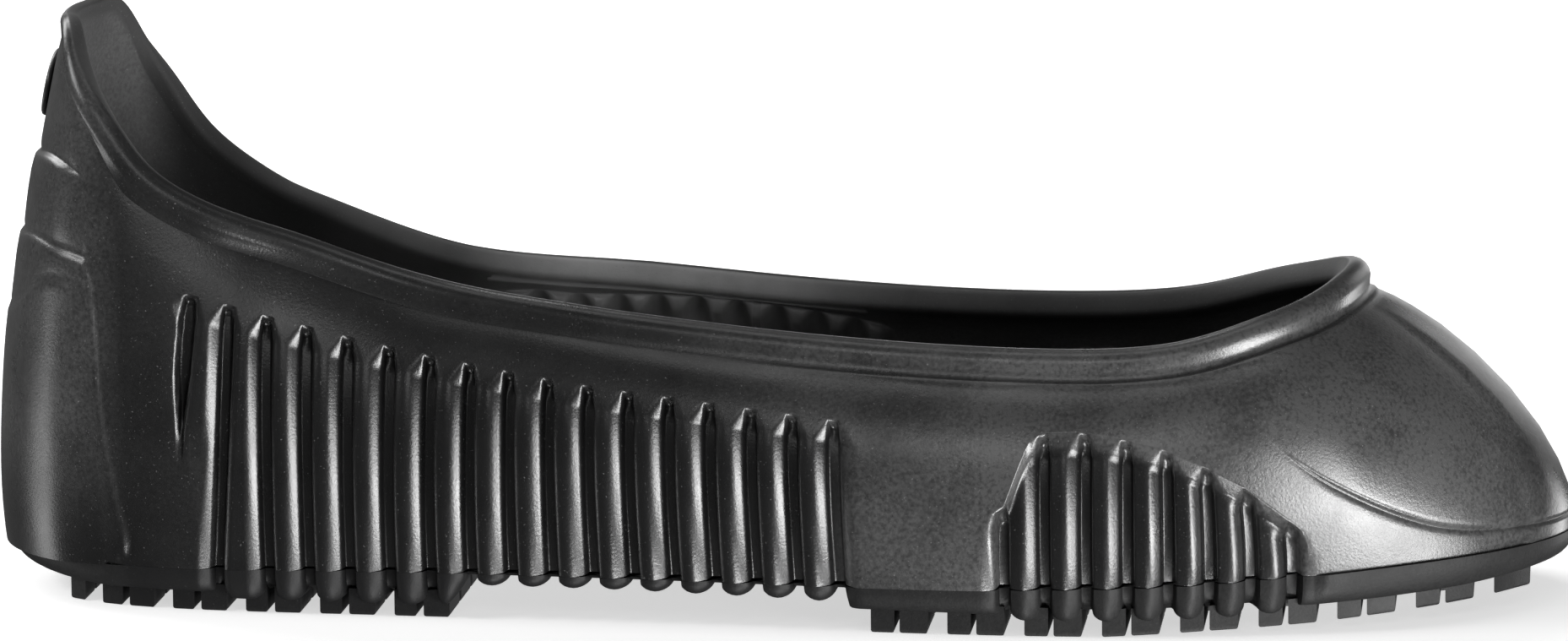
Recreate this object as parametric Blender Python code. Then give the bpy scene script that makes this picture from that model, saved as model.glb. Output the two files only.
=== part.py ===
"""A slip-on rubber overshoe: hollow upper with bellows folds, lugged outsole and plain oval heel badge."""

import bmesh
import bpy
import numpy as np
from mathutils import Matrix

MM = 0.001
UPPER_COLOUR = (0.02, 0.02, 0.021)
SOLE_COLOUR = (0.018, 0.018, 0.019)
RUBBER_ROUGHNESS = 0.5

# Overall form, in millimetres. The toe points along +X and the outer side of this right shoe faces -Y.
WALL = 2.0
SEAM_GAP = 0.3
HALF_LENGTH = 144.0
CURVE_OF_LAST = 4.0
CURVE_SHARE = 0.35
# Sideways lean of the collar, as a share of y, along the shoe.
COLLAR_LEAN = ((-118.0, 0.0), (-96.0, 0.04), (-62.0, 0.04), (-28.0, 0.014))
LEAN_FROM_Z = 20.0
LEAN_FULL_Z = 60.0

# Collar bead: a round rim that stands proud of the outer face, thinner along the top of the heel tab.
BEAD_RADIUS = 3.0
BEAD_SHIFT = 0.7
BEAD_REACH = 4.0
TAB_RADIUS = 1.2
TAB_SHIFT = -1.0
TAB_REACH = 1.8
TAB_BEAD_SHARE = 0.2
TAB_BACK_X = -131.5
TAB_BEAD_RUN = 10.0
BEAD_ANGLES_DEG = (-48.0, 8.0, 68.0, 132.0)

# Bellows folds: upright grooves pressed into both faces of the wall. The fold next to the heel is a short
# slot that starts at a share of the height of the field.
FOLD_DEPTH = 2.8
FOLD_HALF_WIDTH = 1.7
SHORT_FOLD_FROM = 0.45
SIDE_FOLDS = 17
SIDE_FOLD_FIRST_X = -105.6
SIDE_FOLD_PITCH = 7.475
FORE_FOLDS = 8
FORE_FOLD_FIRST_X = 43.6
FORE_FOLD_PITCH = 7.4

# Steps in the wall.
STEP_RUN = 1.2
EDGE_TOLERANCE = 0.01
COUNTER_RAISE = 0.9
COUNTER_EDGE_X = -118.0
LEDGE_RAISE = 0.5
LEDGE_FADE_X = -124.0
LEDGE_FADE = 8.0
LEDGE_END_SHARE = 0.5
CAP_RAISE = 0.9
CAP_START_X = 95.0
CAP_FADE = 14.0
STRIP_RAISE = 0.6
STRIP_EDGE_X = 138.5

# Outsole: a plate with a band round it, a raised floor that keys into the upper, and rounded fold ends.
FLOOR_RISE = 1.6
FLOOR_CLEAR = 0.5
EDGE_INSET = 2.0
HEEL_EDGE_INSET = 2.0
HEEL_EDGE_X = -120.0
HEEL_EDGE_RUN = 20.0
UNDER_INSET = 3.4
TOE_BUMPER = 1.0
TOE_BUMPER_START_X = 99.0
BAND_BEND = 0.45
BAND_TUCK = 0.15
BAND_FOLLOW = 0.6
LAND_LEAST = 0.1

# Tread blocks. Each row runs across the sole in five blocks, given by two shares of the half width and by
# whether a notch splits the block.
LUG_INSET = 1.2
LUG_BURY = 1.2
LUG_ROW = 10.2
LUG_ROW_PITCH = 13.8
LUG_SMALL = 4.0
LUG_NOTCH = 1.4
HEEL_LUG_FIRST_X = -136.7
HEEL_LUG_ROWS = 6
FORE_LUG_FIRST_X = 19.7
FORE_LUG_ROWS = 9
LUG_BACK_X = -129.5
LUG_FRONT_X = 136.5
NOTCH_RISE = 1.4
NOTCH_HALF = 1.0
LUG_BLOCKS = (
    (-1.0, -0.64, True),
    (-0.57, -0.23, False),
    (-0.16, 0.16, False),
    (0.23, 0.57, False),
    (0.64, 1.0, True),
)

# Badge on the back of the heel tab.
BADGE_HALF_WIDTH = 8.0
BADGE_HALF_HEIGHT = 6.2
BADGE_THICK = 1.6
BADGE_Z = 92.3
BADGE_GAP = 0.4
BADGE_SPOKES = 20
BADGE_RIM = 0.6
BADGE_PROFILE = (
    (0.4, BADGE_GAP), (0.75, BADGE_GAP), (1.0, BADGE_GAP),
    (1.0, BADGE_RIM * BADGE_THICK), (0.75, BADGE_THICK),
)

# A row for each section round one half of the shoe, from the middle of the heel to the middle of the toe.
# Each section is a cubic curve from the sole seam up to the collar. Its lower handle leaves the seam by
# rise_low and out_low. Its upper handle leaves the collar by drop_high and out_high.
SECTION_COLUMNS = ("x_base", "half_base", "z_base", "x_top", "half_top", "z_top",
                   "rise_low", "out_low", "drop_high", "out_high")
SECTIONS = (
    (-143.6, 0.0, 8.3, -131.5, 0.0, 105.4, 28.0, 3.2, 20.0, 5.6),
    (-140.8, 12.5, 8.2, -130.4, 11.6, 105.3, 28.0, 3.0, 20.0, 5.6),
    (-133.2, 23.5, 8.2, -127.5, 21.0, 103.4, 28.0, 2.8, 20.0, 5.6),
    (-124.6, 29.2, 8.1, -123.9, 27.6, 94.2, 27.0, 2.6, 20.0, 5.8),
    (-118.4, 31.7, 8.1, -119.2, 30.1, 86.2, 26.0, 2.6, 19.0, 6.4),
    (-113.0, 33.1, 8.1, -114.0, 30.9, 79.0, 25.0, 2.6, 18.0, 7.0),
    (-106.0, 34.3, 8.1, -105.0, 30.2, 72.2, 24.0, 2.6, 16.0, 8.0),
    (-90.0, 35.6, 8.3, -89.2, 26.4, 65.4, 20.0, 2.8, 12.5, 9.5),
    (-66.0, 36.8, 8.6, -65.5, 25.2, 57.4, 17.0, 3.0, 9.0, 11.5),
    (-38.0, 39.0, 8.7, -37.5, 30.0, 53.2, 16.0, 3.5, 7.0, 13.0),
    (-8.0, 42.5, 8.7, -7.6, 33.0, 50.0, 16.0, 4.2, 6.0, 14.0),
    (22.0, 46.0, 8.6, 22.2, 34.6, 47.5, 15.0, 3.5, 6.0, 14.0),
    (50.0, 48.3, 8.8, 50.0, 36.0, 46.4, 14.0, 3.0, 6.0, 14.0),
    (76.0, 47.3, 9.5, 73.5, 36.0, 47.6, 14.0, 2.5, 6.5, 14.0),
    (98.0, 42.3, 10.7, 88.0, 31.6, 51.4, 15.0, 2.0, 7.5, 15.0),
    (118.0, 33.8, 11.8, 97.0, 23.6, 54.2, 16.0, 1.2, 8.0, 17.0),
    (134.5, 20.5, 12.3, 102.0, 13.2, 56.4, 16.0, 0.6, 8.5, 18.5),
    (143.3, 0.0, 12.4, 104.0, 0.0, 57.4, 15.0, 0.3, 8.5, 19.5),
)

# Height of the wall's feature line, as a share of each section: the top of the counter, of the side folds and
# of the fore folds, then the lower edge of the toe cap.
LINE_COLUMNS = ("x_base", "share")
FEATURE_LINE = (
    (-144.0, 0.57), (-124.0, 0.575), (-117.0, 0.585), (-112.0, 0.66), (-104.0, 0.70), (-92.0, 0.725),
    (-66.0, 0.74), (-51.0, 0.734), (-36.0, 0.712), (0.0, 0.678), (16.0, 0.66), (40.0, 0.31), (44.0, 0.33),
    (48.5, 0.61), (51.0, 0.655), (57.0, 0.662), (64.0, 0.633), (72.0, 0.576), (79.0, 0.496), (87.0, 0.381),
    (94.5, 0.23), (97.5, 0.22), (100.5, 0.385), (106.6, 0.281), (113.0, 0.194), (120.0, 0.122),
    (127.0, 0.085), (134.0, 0.07), (144.0, 0.06),
)

# Underside of the plate, bottom of the tread blocks and drop of the rounded fold ends along the shoe.
SOLE_COLUMNS = ("x", "z_plate", "z_lug", "end_drop")
SOLE_LINE = (
    (-146.0, 5.0, 1.4, 0.0), (-132.0, 4.2, 0.2, 0.0), (-122.0, 3.8, 0.0, 1.0), (-58.0, 3.6, 0.0, 1.2),
    (-54.0, 8.2, 1.6, 1.8), (-26.0, 8.3, 2.0, 1.9), (0.0, 8.2, 1.6, 2.1), (14.8, 8.1, 0.0, 2.5),
    (15.8, 4.5, 0.0, 1.2), (62.0, 3.9, 0.0, 1.0), (80.0, 4.3, 0.9, 1.0), (98.0, 5.1, 1.6, 1.0),
    (112.0, 5.7, 2.5, 0.6), (126.0, 6.4, 3.4, 0.0), (146.0, 8.0, 4.6, 0.0),
)

# Rows of the wall's mesh: shares of the height below the feature line, then of the height above it.
# A row of the inner face has a share below the line, a share above it and how far the folds press into it.
FOLD_ROWS = (0.0, 0.38, 0.70, 0.90, 1.0)
SHOULDER_ROWS = (0.3, 0.65)
INNER_ROWS = ((1.0, 0.72, 0.0), (1.0, 0.14, 0.0), (1.0, 0.0, 0.9), (0.42, 0.0, 1.0), (0.0, 0.0, 1.0))
# Columns of the mesh between the steps and folds.
BACK_COLUMNS_X = (-113.6, -110.2)
MIDDLE_COLUMNS_X = (24.0, 36.0)
HEEL_COLUMNS = 8
TOE_COLUMNS = 7
STRIP_COLUMNS = 4
NORMAL_STEP = 0.5
SHARE_STEP = 0.01
FINE_STEPS = 4000


def column(table, names, name):
    """One named column of a table, as an array."""
    return np.array([row[names.index(name)] for row in table])


def spline(knots, values, at):
    """Smooth curve through the rows of a table, mirrored at both ends so that the halves join smoothly."""
    count = len(knots)
    gaps = np.diff(knots)
    system = np.zeros((count, count))
    right = np.zeros((count,) + values.shape[1:])
    slopes = (values[1:] - values[:-1]) / gaps[:, None]
    for row in range(1, count - 1):
        system[row, row - 1] = gaps[row - 1]
        system[row, row] = 2.0 * (gaps[row - 1] + gaps[row])
        system[row, row + 1] = gaps[row]
        right[row] = 6.0 * (slopes[row] - slopes[row - 1])
    system[0, 0] = system[-1, -1] = 1.0
    bends = np.linalg.solve(system, right)
    index = np.clip(np.searchsorted(knots, at) - 1, 0, count - 2)
    left = (at - knots[index])[:, None]
    span = gaps[index][:, None]
    rest = span - left
    return (bends[index] * rest**3 + bends[index + 1] * left**3) / (6.0 * span) \
        + (values[index] / span - bends[index] * span / 6.0) * rest \
        + (values[index + 1] / span - bends[index + 1] * span / 6.0) * left


MIRRORED = 3
ODD_COLUMNS = ("half_base", "half_top")


def section_knots():
    """Length round the sole seam at each section, with three sections mirrored past each end."""
    table = np.array(SECTIONS)
    odd = [SECTION_COLUMNS.index(name) for name in ODD_COLUMNS]
    steps = np.hypot(np.diff(table[:, 0]), np.diff(table[:, 1]))
    knots = np.concatenate([[0.0], np.cumsum(steps)])
    before = table[MIRRORED:0:-1].copy()
    after = table[-2:-2 - MIRRORED:-1].copy()
    before[:, odd] *= -1.0
    after[:, odd] *= -1.0
    knots_before = -knots[MIRRORED:0:-1]
    knots_after = 2.0 * knots[-1] - knots[-2:-2 - MIRRORED:-1]
    return np.concatenate([knots_before, knots, knots_after]), np.vstack([before, table, after]), knots[-1]


KNOTS, ROWS, HALF_ROUND = section_knots()


def sections(around):
    """All section columns at lengths round the half seam, as a dictionary of arrays."""
    values = spline(KNOTS, ROWS, np.asarray(around, float))
    return {name: values[:, i] for i, name in enumerate(SECTION_COLUMNS)}


def around_at(x_base):
    """Length round the half seam at which the sole seam passes these lengthwise positions."""
    dense = np.linspace(0.0, HALF_ROUND, FINE_STEPS)
    return np.interp(x_base, sections(dense)["x_base"], dense)


def placed(points):
    """Points bent to the curve of the last, with the collar leaning a little lower on the inner side."""
    bent = points.copy()
    lean = np.interp(points[:, 0], *np.array(COLLAR_LEAN).T)
    high = np.clip((points[:, 2] - LEAN_FROM_Z) / (LEAN_FULL_Z - LEAN_FROM_Z), 0.0, 1.0)
    bent[:, 2] -= lean * points[:, 1] * high
    bent[:, 1] += CURVE_OF_LAST * ((points[:, 0] / HALF_LENGTH) ** 2 - CURVE_SHARE)
    return bent


def seam_normals(around):
    """Outward direction in plan of the half seam."""
    ahead = sections(around + NORMAL_STEP)
    behind = sections(around - NORMAL_STEP)
    dx = ahead["x_base"] - behind["x_base"]
    dy = ahead["half_base"] - behind["half_base"]
    size = np.hypot(dx, dy)
    return -dy / size, dx / size


def smooth(x):
    """Soft step from 0 to 1."""
    t = np.clip(x, 0.0, 1.0)
    return t * t * (3.0 - 2.0 * t)


def wall(around, share):
    """Plain outer face: points of the cubic section at a share of its height, with y outward."""
    s = sections(around)
    nx, ny = seam_normals(around)
    low = np.stack([s["x_base"], s["half_base"], s["z_base"]], -1)
    high = np.stack([s["x_top"], s["half_top"], s["z_top"]], -1)
    out = np.stack([nx, ny, np.zeros_like(nx)], -1)
    up = np.array([0.0, 0.0, 1.0])
    handle_low = low + out * s["out_low"][:, None] + up * s["rise_low"][:, None]
    handle_high = high + out * s["out_high"][:, None] - up * s["drop_high"][:, None]
    t = np.asarray(share, float)[:, None]
    r = 1.0 - t
    return r**3 * low + 3.0 * r * r * t * handle_low + 3.0 * r * t * t * handle_high + t**3 * high


def wall_frame(around, share):
    """Outer face with its outward normal and its upward direction along the section."""
    here = wall(around, share)
    above = np.minimum(share + SHARE_STEP, 1.0)
    up = wall(around, above) - wall(around, above - SHARE_STEP)
    along = wall(around + NORMAL_STEP, share) - wall(around - NORMAL_STEP, share)
    normal = np.cross(up, along)
    normal /= np.linalg.norm(normal, axis=1)[:, None]
    up /= np.linalg.norm(up, axis=1)[:, None]
    return here, normal, up


def feature_share(around):
    """Share of the section at which the feature line runs."""
    x = sections(around)["x_base"]
    line_x = column(FEATURE_LINE, LINE_COLUMNS, "x_base")
    return np.interp(x, line_x, column(FEATURE_LINE, LINE_COLUMNS, "share"))


def side_fold_centres():
    return SIDE_FOLD_FIRST_X + SIDE_FOLD_PITCH * np.arange(SIDE_FOLDS)


def fore_fold_centres():
    return FORE_FOLD_FIRST_X + FORE_FOLD_PITCH * np.arange(FORE_FOLDS)


def fold_columns(centres):
    """Three columns for each fold: the bottom of the groove and its two edges."""
    offsets = np.array([-FOLD_HALF_WIDTH, 0.0, FOLD_HALF_WIDTH])
    return (centres[:, None] + offsets).ravel()


def half_columns():
    """Lengths round the half seam of all columns of the mesh, from heel to toe."""
    counter_edge = around_at(COUNTER_EDGE_X)
    heel = np.linspace(0.0, counter_edge, HEEL_COLUMNS)
    side = around_at(fold_columns(side_fold_centres()))
    back = around_at(np.array(BACK_COLUMNS_X))
    middle = around_at(np.array(MIDDLE_COLUMNS_X))
    fore = around_at(fold_columns(fore_fold_centres()))
    strip_edge = around_at(STRIP_EDGE_X)
    toe = np.linspace(fore[-1], strip_edge - STEP_RUN, TOE_COLUMNS)[1:]
    strip = np.linspace(strip_edge, HALF_ROUND, STRIP_COLUMNS)
    return np.concatenate([heel, [counter_edge + STEP_RUN], back, side, middle, fore, toe, strip])


AROUND = half_columns()


def fold_depth(part):
    """Depth of the folds at each column, on the row at this share of the height below the feature line."""
    first = 0 if part > SHORT_FOLD_FROM else 1
    centres = np.concatenate([side_fold_centres()[first:], fore_fold_centres()])
    nearest = np.min(np.abs(sections(AROUND)["x_base"][:, None] - centres), axis=1)
    return FOLD_DEPTH * np.clip(1.0 - nearest / FOLD_HALF_WIDTH, 0.0, 1.0)


def raises(around, above_line, share_left):
    """Steps of the wall: counter below the feature line, heel ledge and toe cap above it, toe strip."""
    x = sections(around)["x_base"]
    heel = 1.0 - smooth((x - LEDGE_FADE_X) / LEDGE_FADE)
    counter = COUNTER_RAISE * (around <= around_at(COUNTER_EDGE_X) + EDGE_TOLERANCE)
    cap = CAP_RAISE * smooth((x - CAP_START_X) / CAP_FADE)
    strip = STRIP_RAISE * (around >= around_at(STRIP_EDGE_X) - EDGE_TOLERANCE) * share_left
    ledge = LEDGE_RAISE * heel * (share_left > LEDGE_END_SHARE)
    if above_line:
        return ledge + cap * share_left + strip
    return ledge + counter + strip


def bead_share(around):
    """Size of the bead round the collar: thin along the top of the heel tab, full elsewhere."""
    x = sections(around)["x_top"]
    return TAB_BEAD_SHARE + (1.0 - TAB_BEAD_SHARE) * smooth((x - TAB_BACK_X) / TAB_BEAD_RUN)


def blend(low, high, share):
    return low + (high - low) * share


def collar_frame(around):
    """Collar edge, its outward normal, the direction square to the edge and the cosine of its slope."""
    top = np.ones_like(around)
    here, normal, up = wall_frame(around, top)
    edge = wall(around + NORMAL_STEP, top) - wall(around - NORMAL_STEP, top)
    edge /= np.linalg.norm(edge, axis=1)[:, None]
    across = up - edge * np.sum(up * edge, axis=1)[:, None]
    cosine = np.linalg.norm(across, axis=1)
    return here, normal, across / cosine[:, None], cosine


def outer_rows():
    """Rows of the outer face from the seam up to the bead, each an array of points in plan half."""
    line = feature_share(AROUND)
    rows = []
    for part in FOLD_ROWS:
        here, normal, _ = wall_frame(AROUND, line * part)
        pressed = fold_depth(part) * (part < 1.0)
        rows.append(here + normal * (raises(AROUND, False, 1.0) - pressed)[:, None])
    collar, _, _, cosine = collar_frame(AROUND)
    length = np.linalg.norm(collar - wall(AROUND, line), axis=1)
    just_above = line + (1.0 - line) * STEP_RUN / length
    bead_foot = 1.0 - (1.0 - line) * blend(TAB_REACH, BEAD_REACH, bead_share(AROUND)) / (length * cosine)
    for part in (0.0,) + SHOULDER_ROWS:
        here, normal, _ = wall_frame(AROUND, blend(just_above, bead_foot, part))
        rows.append(here + normal * raises(AROUND, True, 1.0 - part)[:, None])
    rows.append(wall(AROUND, bead_foot))
    return rows


def bead_rows():
    """Rows of the round collar bead, from its outer foot over the top to the inner face."""
    here, normal, across, _ = collar_frame(AROUND)
    share = bead_share(AROUND)[:, None]
    middle = here + normal * blend(TAB_SHIFT, BEAD_SHIFT, share)
    radius = blend(TAB_RADIUS, BEAD_RADIUS, share)
    return [middle + radius * (np.cos(angle) * normal + np.sin(angle) * across)
            for angle in np.radians(BEAD_ANGLES_DEG)]


def inner_rows():
    """Rows of the inner face from below the collar down to the seam, one wall behind the plain face."""
    line = feature_share(AROUND)
    rows = []
    for below, above, pressed in INNER_ROWS:
        here, normal, _ = wall_frame(AROUND, line * below + (1.0 - line) * above)
        rows.append(here - normal * (WALL + fold_depth(below) * pressed)[:, None])
    return rows


def whole_ring(row):
    """A closed ring of points from one half row: outer side heel to toe, then inner side toe to heel."""
    outer = row.copy()
    outer[:, 1] *= -1.0
    return placed(np.vstack([outer, row[-2:0:-1]]))


def ring_faces(first, second, size):
    """Quads between two closed rings of points."""
    return [(first + i, first + (i + 1) % size, second + (i + 1) % size, second + i) for i in range(size)]


def add_object(name, points, faces, colour):
    """A named mesh object in metres with a plain rubber material and outward faces."""
    mesh = bpy.data.meshes.new(name)
    mesh.from_pydata((np.asarray(points) * MM).tolist(), [], [tuple(int(i) for i in f) for f in faces])
    form = bmesh.new()
    form.from_mesh(mesh)
    bmesh.ops.triangulate(form, faces=form.faces[:])
    bmesh.ops.recalc_face_normals(form, faces=form.faces[:])
    form.to_mesh(mesh)
    form.free()
    material = bpy.data.materials.new(name + "_rubber")
    material.use_nodes = True
    shader = material.node_tree.nodes["Principled BSDF"]
    shader.inputs["Base Color"].default_value = (*colour, 1.0)
    shader.inputs["Roughness"].default_value = RUBBER_ROUGHNESS
    mesh.materials.append(material)
    made = bpy.data.objects.new(name, mesh)
    bpy.context.scene.collection.objects.link(made)
    return made


def make_upper():
    """The hollow shell: outer rows, bead rows and inner rows joined into one closed wall."""
    rows = outer_rows() + bead_rows() + inner_rows()
    for row in (rows[0], rows[-1]):
        row[:, 2] += 0.5 * SEAM_GAP
    rings = [whole_ring(row) for row in rows]
    size = len(rings[0])
    faces = []
    for i in range(len(rings)):
        faces += ring_faces(i * size, ((i + 1) % len(rings)) * size, size)
    return add_object("upper", np.vstack(rings), faces, UPPER_COLOUR)


def sole_line(x, name):
    return np.interp(x, column(SOLE_LINE, SOLE_COLUMNS, "x"), column(SOLE_LINE, SOLE_COLUMNS, name))


def sole_edge(inset):
    """Half outline of the plate moved in by an inset, with the fold grooves pressed into it."""
    s = sections(AROUND)
    nx, ny = seam_normals(AROUND)
    out = -fold_depth(0.0) - inset
    return s["x_base"] + nx * out, np.maximum(s["half_base"] + ny * out, 0.0)


def fold_end_share(x):
    """1 on the ribs between folds, where their rounded ends hang below the plate, and 0 elsewhere."""
    share = np.zeros_like(x)
    for centres in (side_fold_centres()[1:], fore_fold_centres()):
        share += (x > centres[0]) * (x < centres[-1])
    return share * (1.0 - fold_depth(0.0) / FOLD_DEPTH)


def make_plate():
    """The sole plate: a raised floor, a land for the upper, the band with its fold ends and the underside."""
    s = sections(AROUND)
    x = s["x_base"]
    z_land = s["z_base"] - 0.5 * SEAM_GAP
    z_plate = sole_line(x, "z_plate")
    z_end = np.minimum(z_plate - sole_line(x, "end_drop") * fold_end_share(x), z_land - 2.0 * LAND_LEAST)
    bumper = TOE_BUMPER * smooth((x - TOE_BUMPER_START_X) / STEP_RUN)
    raised = BAND_FOLLOW * COUNTER_RAISE * (AROUND <= around_at(COUNTER_EDGE_X) + EDGE_TOLERANCE)
    edge = EDGE_INSET + HEEL_EDGE_INSET * smooth((HEEL_EDGE_X - x) / HEEL_EDGE_RUN)
    levels = (
        (WALL + FLOOR_CLEAR, s["z_base"] + FLOOR_RISE),
        (WALL + FLOOR_CLEAR, z_land),
        (-bumper - raised, z_land),
        (BAND_TUCK * edge - bumper - raised, blend(z_end, z_land, BAND_BEND)),
        (edge - raised, z_end),
        (edge + UNDER_INSET, np.minimum(z_plate, z_land - LAND_LEAST)),
    )
    rings = []
    for inset, z in levels:
        ring_x, ring_half = sole_edge(inset)
        rings.append(whole_ring(np.stack([ring_x, ring_half, z], -1)))
    size = len(rings[0])
    faces = []
    for i in range(len(rings) - 1):
        faces += ring_faces(i * size, (i + 1) * size, size)
    last = len(AROUND) - 1
    for first in (0, (len(rings) - 1) * size):
        faces.append((first, first + 1, first + size - 1))
        faces.append((first + last, first + last + 1, first + last - 1))
        for i in range(1, last - 1):
            faces.append((first + i, first + i + 1, first + size - i - 1, first + size - i))
    return add_object("outsole", np.vstack(rings), faces, SOLE_COLOUR)


def lug_half(x):
    """Half width of the tread at this lengthwise position."""
    return float(sections(around_at(np.array([x])))["half_base"][0]) - EDGE_INSET - LUG_INSET


def lug_outline(x0, x1, notch_x):
    """Side outline of a tread block: flat below, rooted in the plate, with a notch where one is given."""
    low = [x0, x1] if notch_x is None else [x0, notch_x - NOTCH_HALF, notch_x, notch_x + NOTCH_HALF, x1]
    outline = [(x, float(sole_line(x, "z_lug")) + (NOTCH_RISE if x == notch_x else 0.0)) for x in low]
    return outline + [(x, float(sole_line(x, "z_plate")) + LUG_BURY) for x in (x1, x0)]


def lug_solid(outline, side_from, side_to):
    """A tread block run across the sole between two shares of its half width, as points and faces."""
    count = len(outline)
    points = [(x, lug_half(x) * side, z) for side in (side_from, side_to) for x, z in outline]
    faces = [tuple(range(count)), tuple(range(2 * count - 1, count - 1, -1))]
    faces += [(i, i + count, (i + 1) % count + count, (i + 1) % count) for i in range(count)]
    return placed(np.array(points)), faces


def lug_spans(start, split, heel):
    """Lengthwise spans of the blocks of one row: whole, split at the heel, or notched at the forefoot."""
    back = max(start, LUG_BACK_X)
    front = min(start + LUG_ROW, LUG_FRONT_X)
    joint = start + LUG_SMALL + 0.5 * LUG_NOTCH
    if not split or not back + LUG_NOTCH < joint < front - LUG_NOTCH:
        return ((back, front, None),)
    if heel:
        return ((back, start + LUG_SMALL, None), (start + LUG_SMALL + LUG_NOTCH, front, None))
    return ((back, front, joint),)


def make_lugs():
    """All tread blocks in one mesh, to be joined to the plate."""
    points = []
    faces = []
    total = 0
    starts = [HEEL_LUG_FIRST_X + LUG_ROW_PITCH * i for i in range(HEEL_LUG_ROWS)]
    starts += [FORE_LUG_FIRST_X + LUG_ROW_PITCH * i for i in range(FORE_LUG_ROWS)]
    for start in starts:
        for side_from, side_to, split in LUG_BLOCKS:
            for x0, x1, notch_x in lug_spans(start, split, start < 0.0):
                block, sides = lug_solid(lug_outline(x0, x1, notch_x), side_from, side_to)
                points.append(block)
                faces += [tuple(total + i for i in face) for face in sides]
                total += len(block)
    return add_object("lugs", np.vstack(points), faces, SOLE_COLOUR)


def make_outsole():
    """Plate and tread blocks as one solid."""
    plate = make_plate()
    lugs = make_lugs()
    joined = plate.modifiers.new("tread", "BOOLEAN")
    joined.operation = "UNION"
    joined.solver = "EXACT"
    joined.object = lugs
    lugs.hide_render = True
    lugs.display_type = "WIRE"
    return plate


def badge_ring(size, lift):
    """An oval ring on the back of the tab, lifted off the wall along its normal."""
    angle = np.linspace(0.0, 2.0 * np.pi, BADGE_SPOKES, endpoint=False)
    shares = np.linspace(0.0, 1.0, FINE_STEPS)
    back = wall(np.zeros_like(shares), shares)
    share = np.interp(BADGE_Z + BADGE_HALF_HEIGHT * size * np.sin(angle), back[:, 2], shares)
    around = BADGE_HALF_WIDTH * size * np.cos(angle)
    here, normal, _ = wall_frame(np.abs(around), share)
    ring = here + normal * lift
    ring[:, 1] *= np.where(around > 0.0, -1.0, 1.0)
    return placed(ring)


def make_badge():
    """A low oval dome on the back of the heel tab, a seam gap off the wall."""
    rings = [badge_ring(size, lift) for size, lift in BADGE_PROFILE]
    points = np.vstack([badge_ring(0.0, BADGE_GAP)[:1], *rings, badge_ring(0.0, BADGE_THICK)[:1]])
    faces = []
    for i in range(len(rings) - 1):
        faces += ring_faces(1 + i * BADGE_SPOKES, 1 + (i + 1) * BADGE_SPOKES, BADGE_SPOKES)
    last = len(points) - 1
    for i in range(BADGE_SPOKES):
        after = (i + 1) % BADGE_SPOKES
        faces.append((0, 1 + i, 1 + after))
        faces.append((last, last - BADGE_SPOKES + i, last - BADGE_SPOKES + after))
    return add_object("heel_badge", points, faces, UPPER_COLOUR)


def stand_on_origin():
    """Moves every mesh alike, so that the middle of the shoe's underside box is the origin."""
    meshes = [made.data for made in bpy.data.objects]
    points = np.array([vertex.co[:] for mesh in meshes for vertex in mesh.vertices])
    low = points.min(axis=0)
    middle = 0.5 * (low + points.max(axis=0))
    for mesh in meshes:
        mesh.transform(Matrix.Translation((-middle[0], -middle[1], -low[2])))


for old in list(bpy.data.objects):
    bpy.data.objects.remove(old)
make_upper()
make_outsole()
make_badge()
stand_on_origin()
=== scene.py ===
"""Looks of a slip-on rubber overshoe: moulded shell with folds, lugged outsole and a plain heel oval."""
import math

import bmesh
import bpy
import numpy as np
from mathutils import Matrix, Vector


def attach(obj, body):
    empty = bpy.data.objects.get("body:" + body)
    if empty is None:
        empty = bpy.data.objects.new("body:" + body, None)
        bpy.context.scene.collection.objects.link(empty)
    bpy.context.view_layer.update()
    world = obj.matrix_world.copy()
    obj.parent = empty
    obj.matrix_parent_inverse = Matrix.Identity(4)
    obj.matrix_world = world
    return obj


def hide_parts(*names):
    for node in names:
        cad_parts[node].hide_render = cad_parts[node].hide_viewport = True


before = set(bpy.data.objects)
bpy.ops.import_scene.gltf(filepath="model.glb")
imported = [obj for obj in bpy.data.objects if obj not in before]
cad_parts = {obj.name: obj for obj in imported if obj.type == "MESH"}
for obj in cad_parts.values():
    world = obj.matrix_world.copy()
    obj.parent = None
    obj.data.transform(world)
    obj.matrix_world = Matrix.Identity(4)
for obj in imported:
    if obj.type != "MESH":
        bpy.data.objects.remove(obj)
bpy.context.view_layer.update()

MM = 0.001

# Form of the last, in millimetres, before the shoe is set on the middle of its box.
STAND = np.array([0.486, 0.781, 0.0])
WALL = 2.0
PARTING_GAP = 0.02
HALF_LENGTH = 144.0
CURVE_OF_LAST = 4.0
CURVE_SHARE = 0.35
# Sideways lean of the collar, as a share of y, along the shoe.
COLLAR_LEAN = ((-118.0, 0.0), (-96.0, 0.04), (-62.0, 0.04), (-28.0, 0.014))
LEAN_FROM_Z = 20.0
LEAN_FULL_Z = 60.0

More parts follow.
